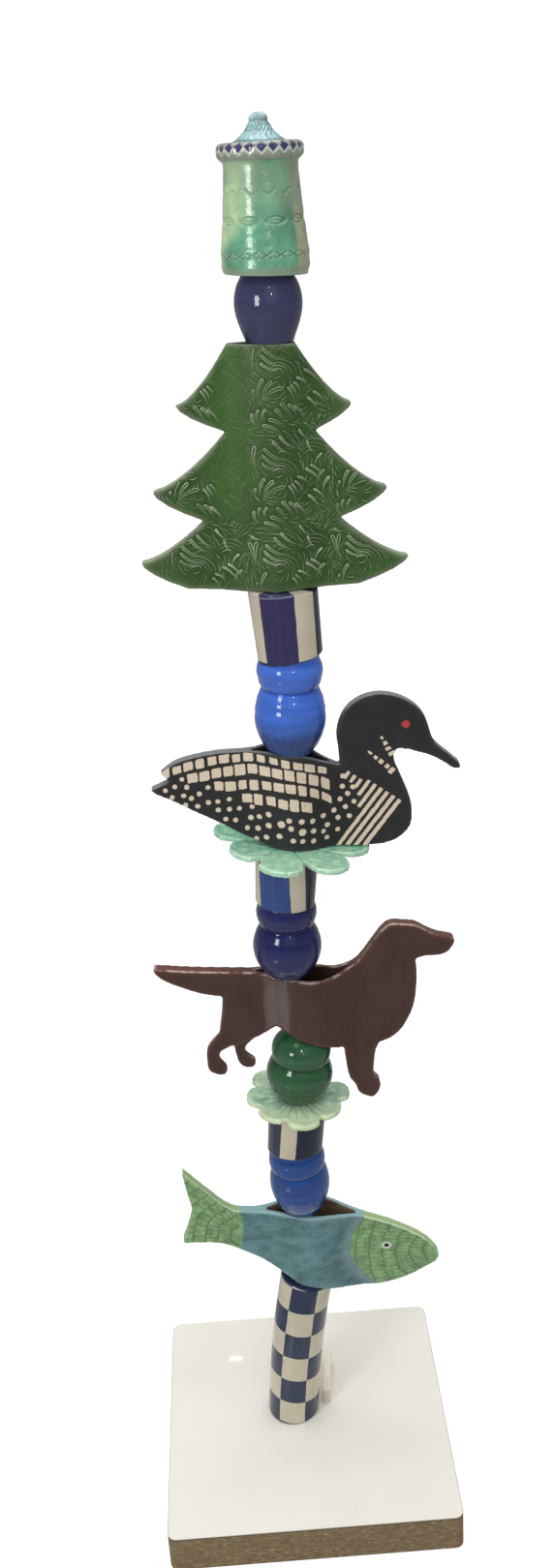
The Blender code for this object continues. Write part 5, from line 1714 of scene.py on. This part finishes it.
class TOTEM_OT_column(bpy.types.Operator):
    """Turn the leaning column and paint its checks"""

    bl_idname = "totem.column"
    bl_label = "Checked column"

    def execute(self, context):
        build_column()
        return {"FINISHED"}


class TOTEM_OT_beads(bpy.types.Operator):
    """Turn the five glossy beads"""

    bl_idname = "totem.beads"
    bl_label = "Beads"

    def execute(self, context):
        build_beads()
        return {"FINISHED"}


class TOTEM_OT_cylinders(bpy.types.Operator):
    """Turn the three striped cylinders"""

    bl_idname = "totem.cylinders"
    bl_label = "Striped cylinders"

    def execute(self, context):
        build_cylinders()
        return {"FINISHED"}


class TOTEM_OT_flowers(bpy.types.Operator):
    """Shape the two flat flowers"""

    bl_idname = "totem.flowers"
    bl_label = "Flowers"

    def execute(self, context):
        build_flowers()
        return {"FINISHED"}


class TOTEM_OT_fish(bpy.types.Operator):
    """Shape the fish and press its scales"""

    bl_idname = "totem.fish"
    bl_label = "Fish"

    def execute(self, context):
        build_fish()
        return {"FINISHED"}


class TOTEM_OT_dog(bpy.types.Operator):
    """Shape the dog"""

    bl_idname = "totem.dog"
    bl_label = "Dog"

    def execute(self, context):
        build_dog()
        return {"FINISHED"}


class TOTEM_OT_loon(bpy.types.Operator):
    """Shape the loon and wipe its marks"""

    bl_idname = "totem.loon"
    bl_label = "Loon"

    def execute(self, context):
        build_loon()
        return {"FINISHED"}


class TOTEM_OT_tree(bpy.types.Operator):
    """Shape the tree and raise its strokes"""

    bl_idname = "totem.tree"
    bl_label = "Tree"

    def execute(self, context):
        build_tree()
        return {"FINISHED"}


class TOTEM_OT_finial(bpy.types.Operator):
    """Turn the finial with its stamps, rim and roof"""

    bl_idname = "totem.finial"
    bl_label = "Finial"

    def execute(self, context):
        build_finial()
        return {"FINISHED"}


class TOTEM_OT_studio(bpy.types.Operator):
    """Set up the floor, the light and the camera"""

    bl_idname = "totem.studio"
    bl_label = "Studio"

    def execute(self, context):
        build_studio()
        return {"FINISHED"}


OPERATORS = (
    TOTEM_OT_board,
    TOTEM_OT_block,
    TOTEM_OT_column,
    TOTEM_OT_beads,
    TOTEM_OT_cylinders,
    TOTEM_OT_flowers,
    TOTEM_OT_fish,
    TOTEM_OT_dog,
    TOTEM_OT_loon,
    TOTEM_OT_tree,
    TOTEM_OT_finial,
    TOTEM_OT_studio,
)


class TOTEM_PT_sidebar(bpy.types.Panel):
    """Lists the pieces of the totem pole."""

    bl_label = "Garden Totem Pole"
    bl_space_type = "VIEW_3D"
    bl_region_type = "UI"
    bl_category = "Totem"

    def draw(self, context):
        scene = context.scene
        for group in (scene.totem_glazes, scene.totem_clay, scene.totem_studio):
            box = self.layout.box()
            for name in group.__annotations__:
                box.prop(group, name)
        for operator in OPERATORS:
            self.layout.operator(operator.bl_idname)


CLASSES = (TotemGlazes, TotemClay, TotemStudio) + OPERATORS + (TOTEM_PT_sidebar,)


def register():
    for kind in CLASSES:
        bpy.utils.register_class(kind)
    bpy.types.Scene.totem_glazes = PointerProperty(type=TotemGlazes)
    bpy.types.Scene.totem_clay = PointerProperty(type=TotemClay)
    bpy.types.Scene.totem_studio = PointerProperty(type=TotemStudio)


def unregister():
    del bpy.types.Scene.totem_studio
    del bpy.types.Scene.totem_clay
    del bpy.types.Scene.totem_glazes
    for kind in reversed(CLASSES):
        bpy.utils.unregister_class(kind)


def main():
    """Build every piece in order."""
    register()
    for operator in OPERATORS:
        getattr(bpy.ops.totem, operator.bl_idname.split(".")[1])()
    bpy.context.view_layer.update()


if __name__ == "__main__":
    main()
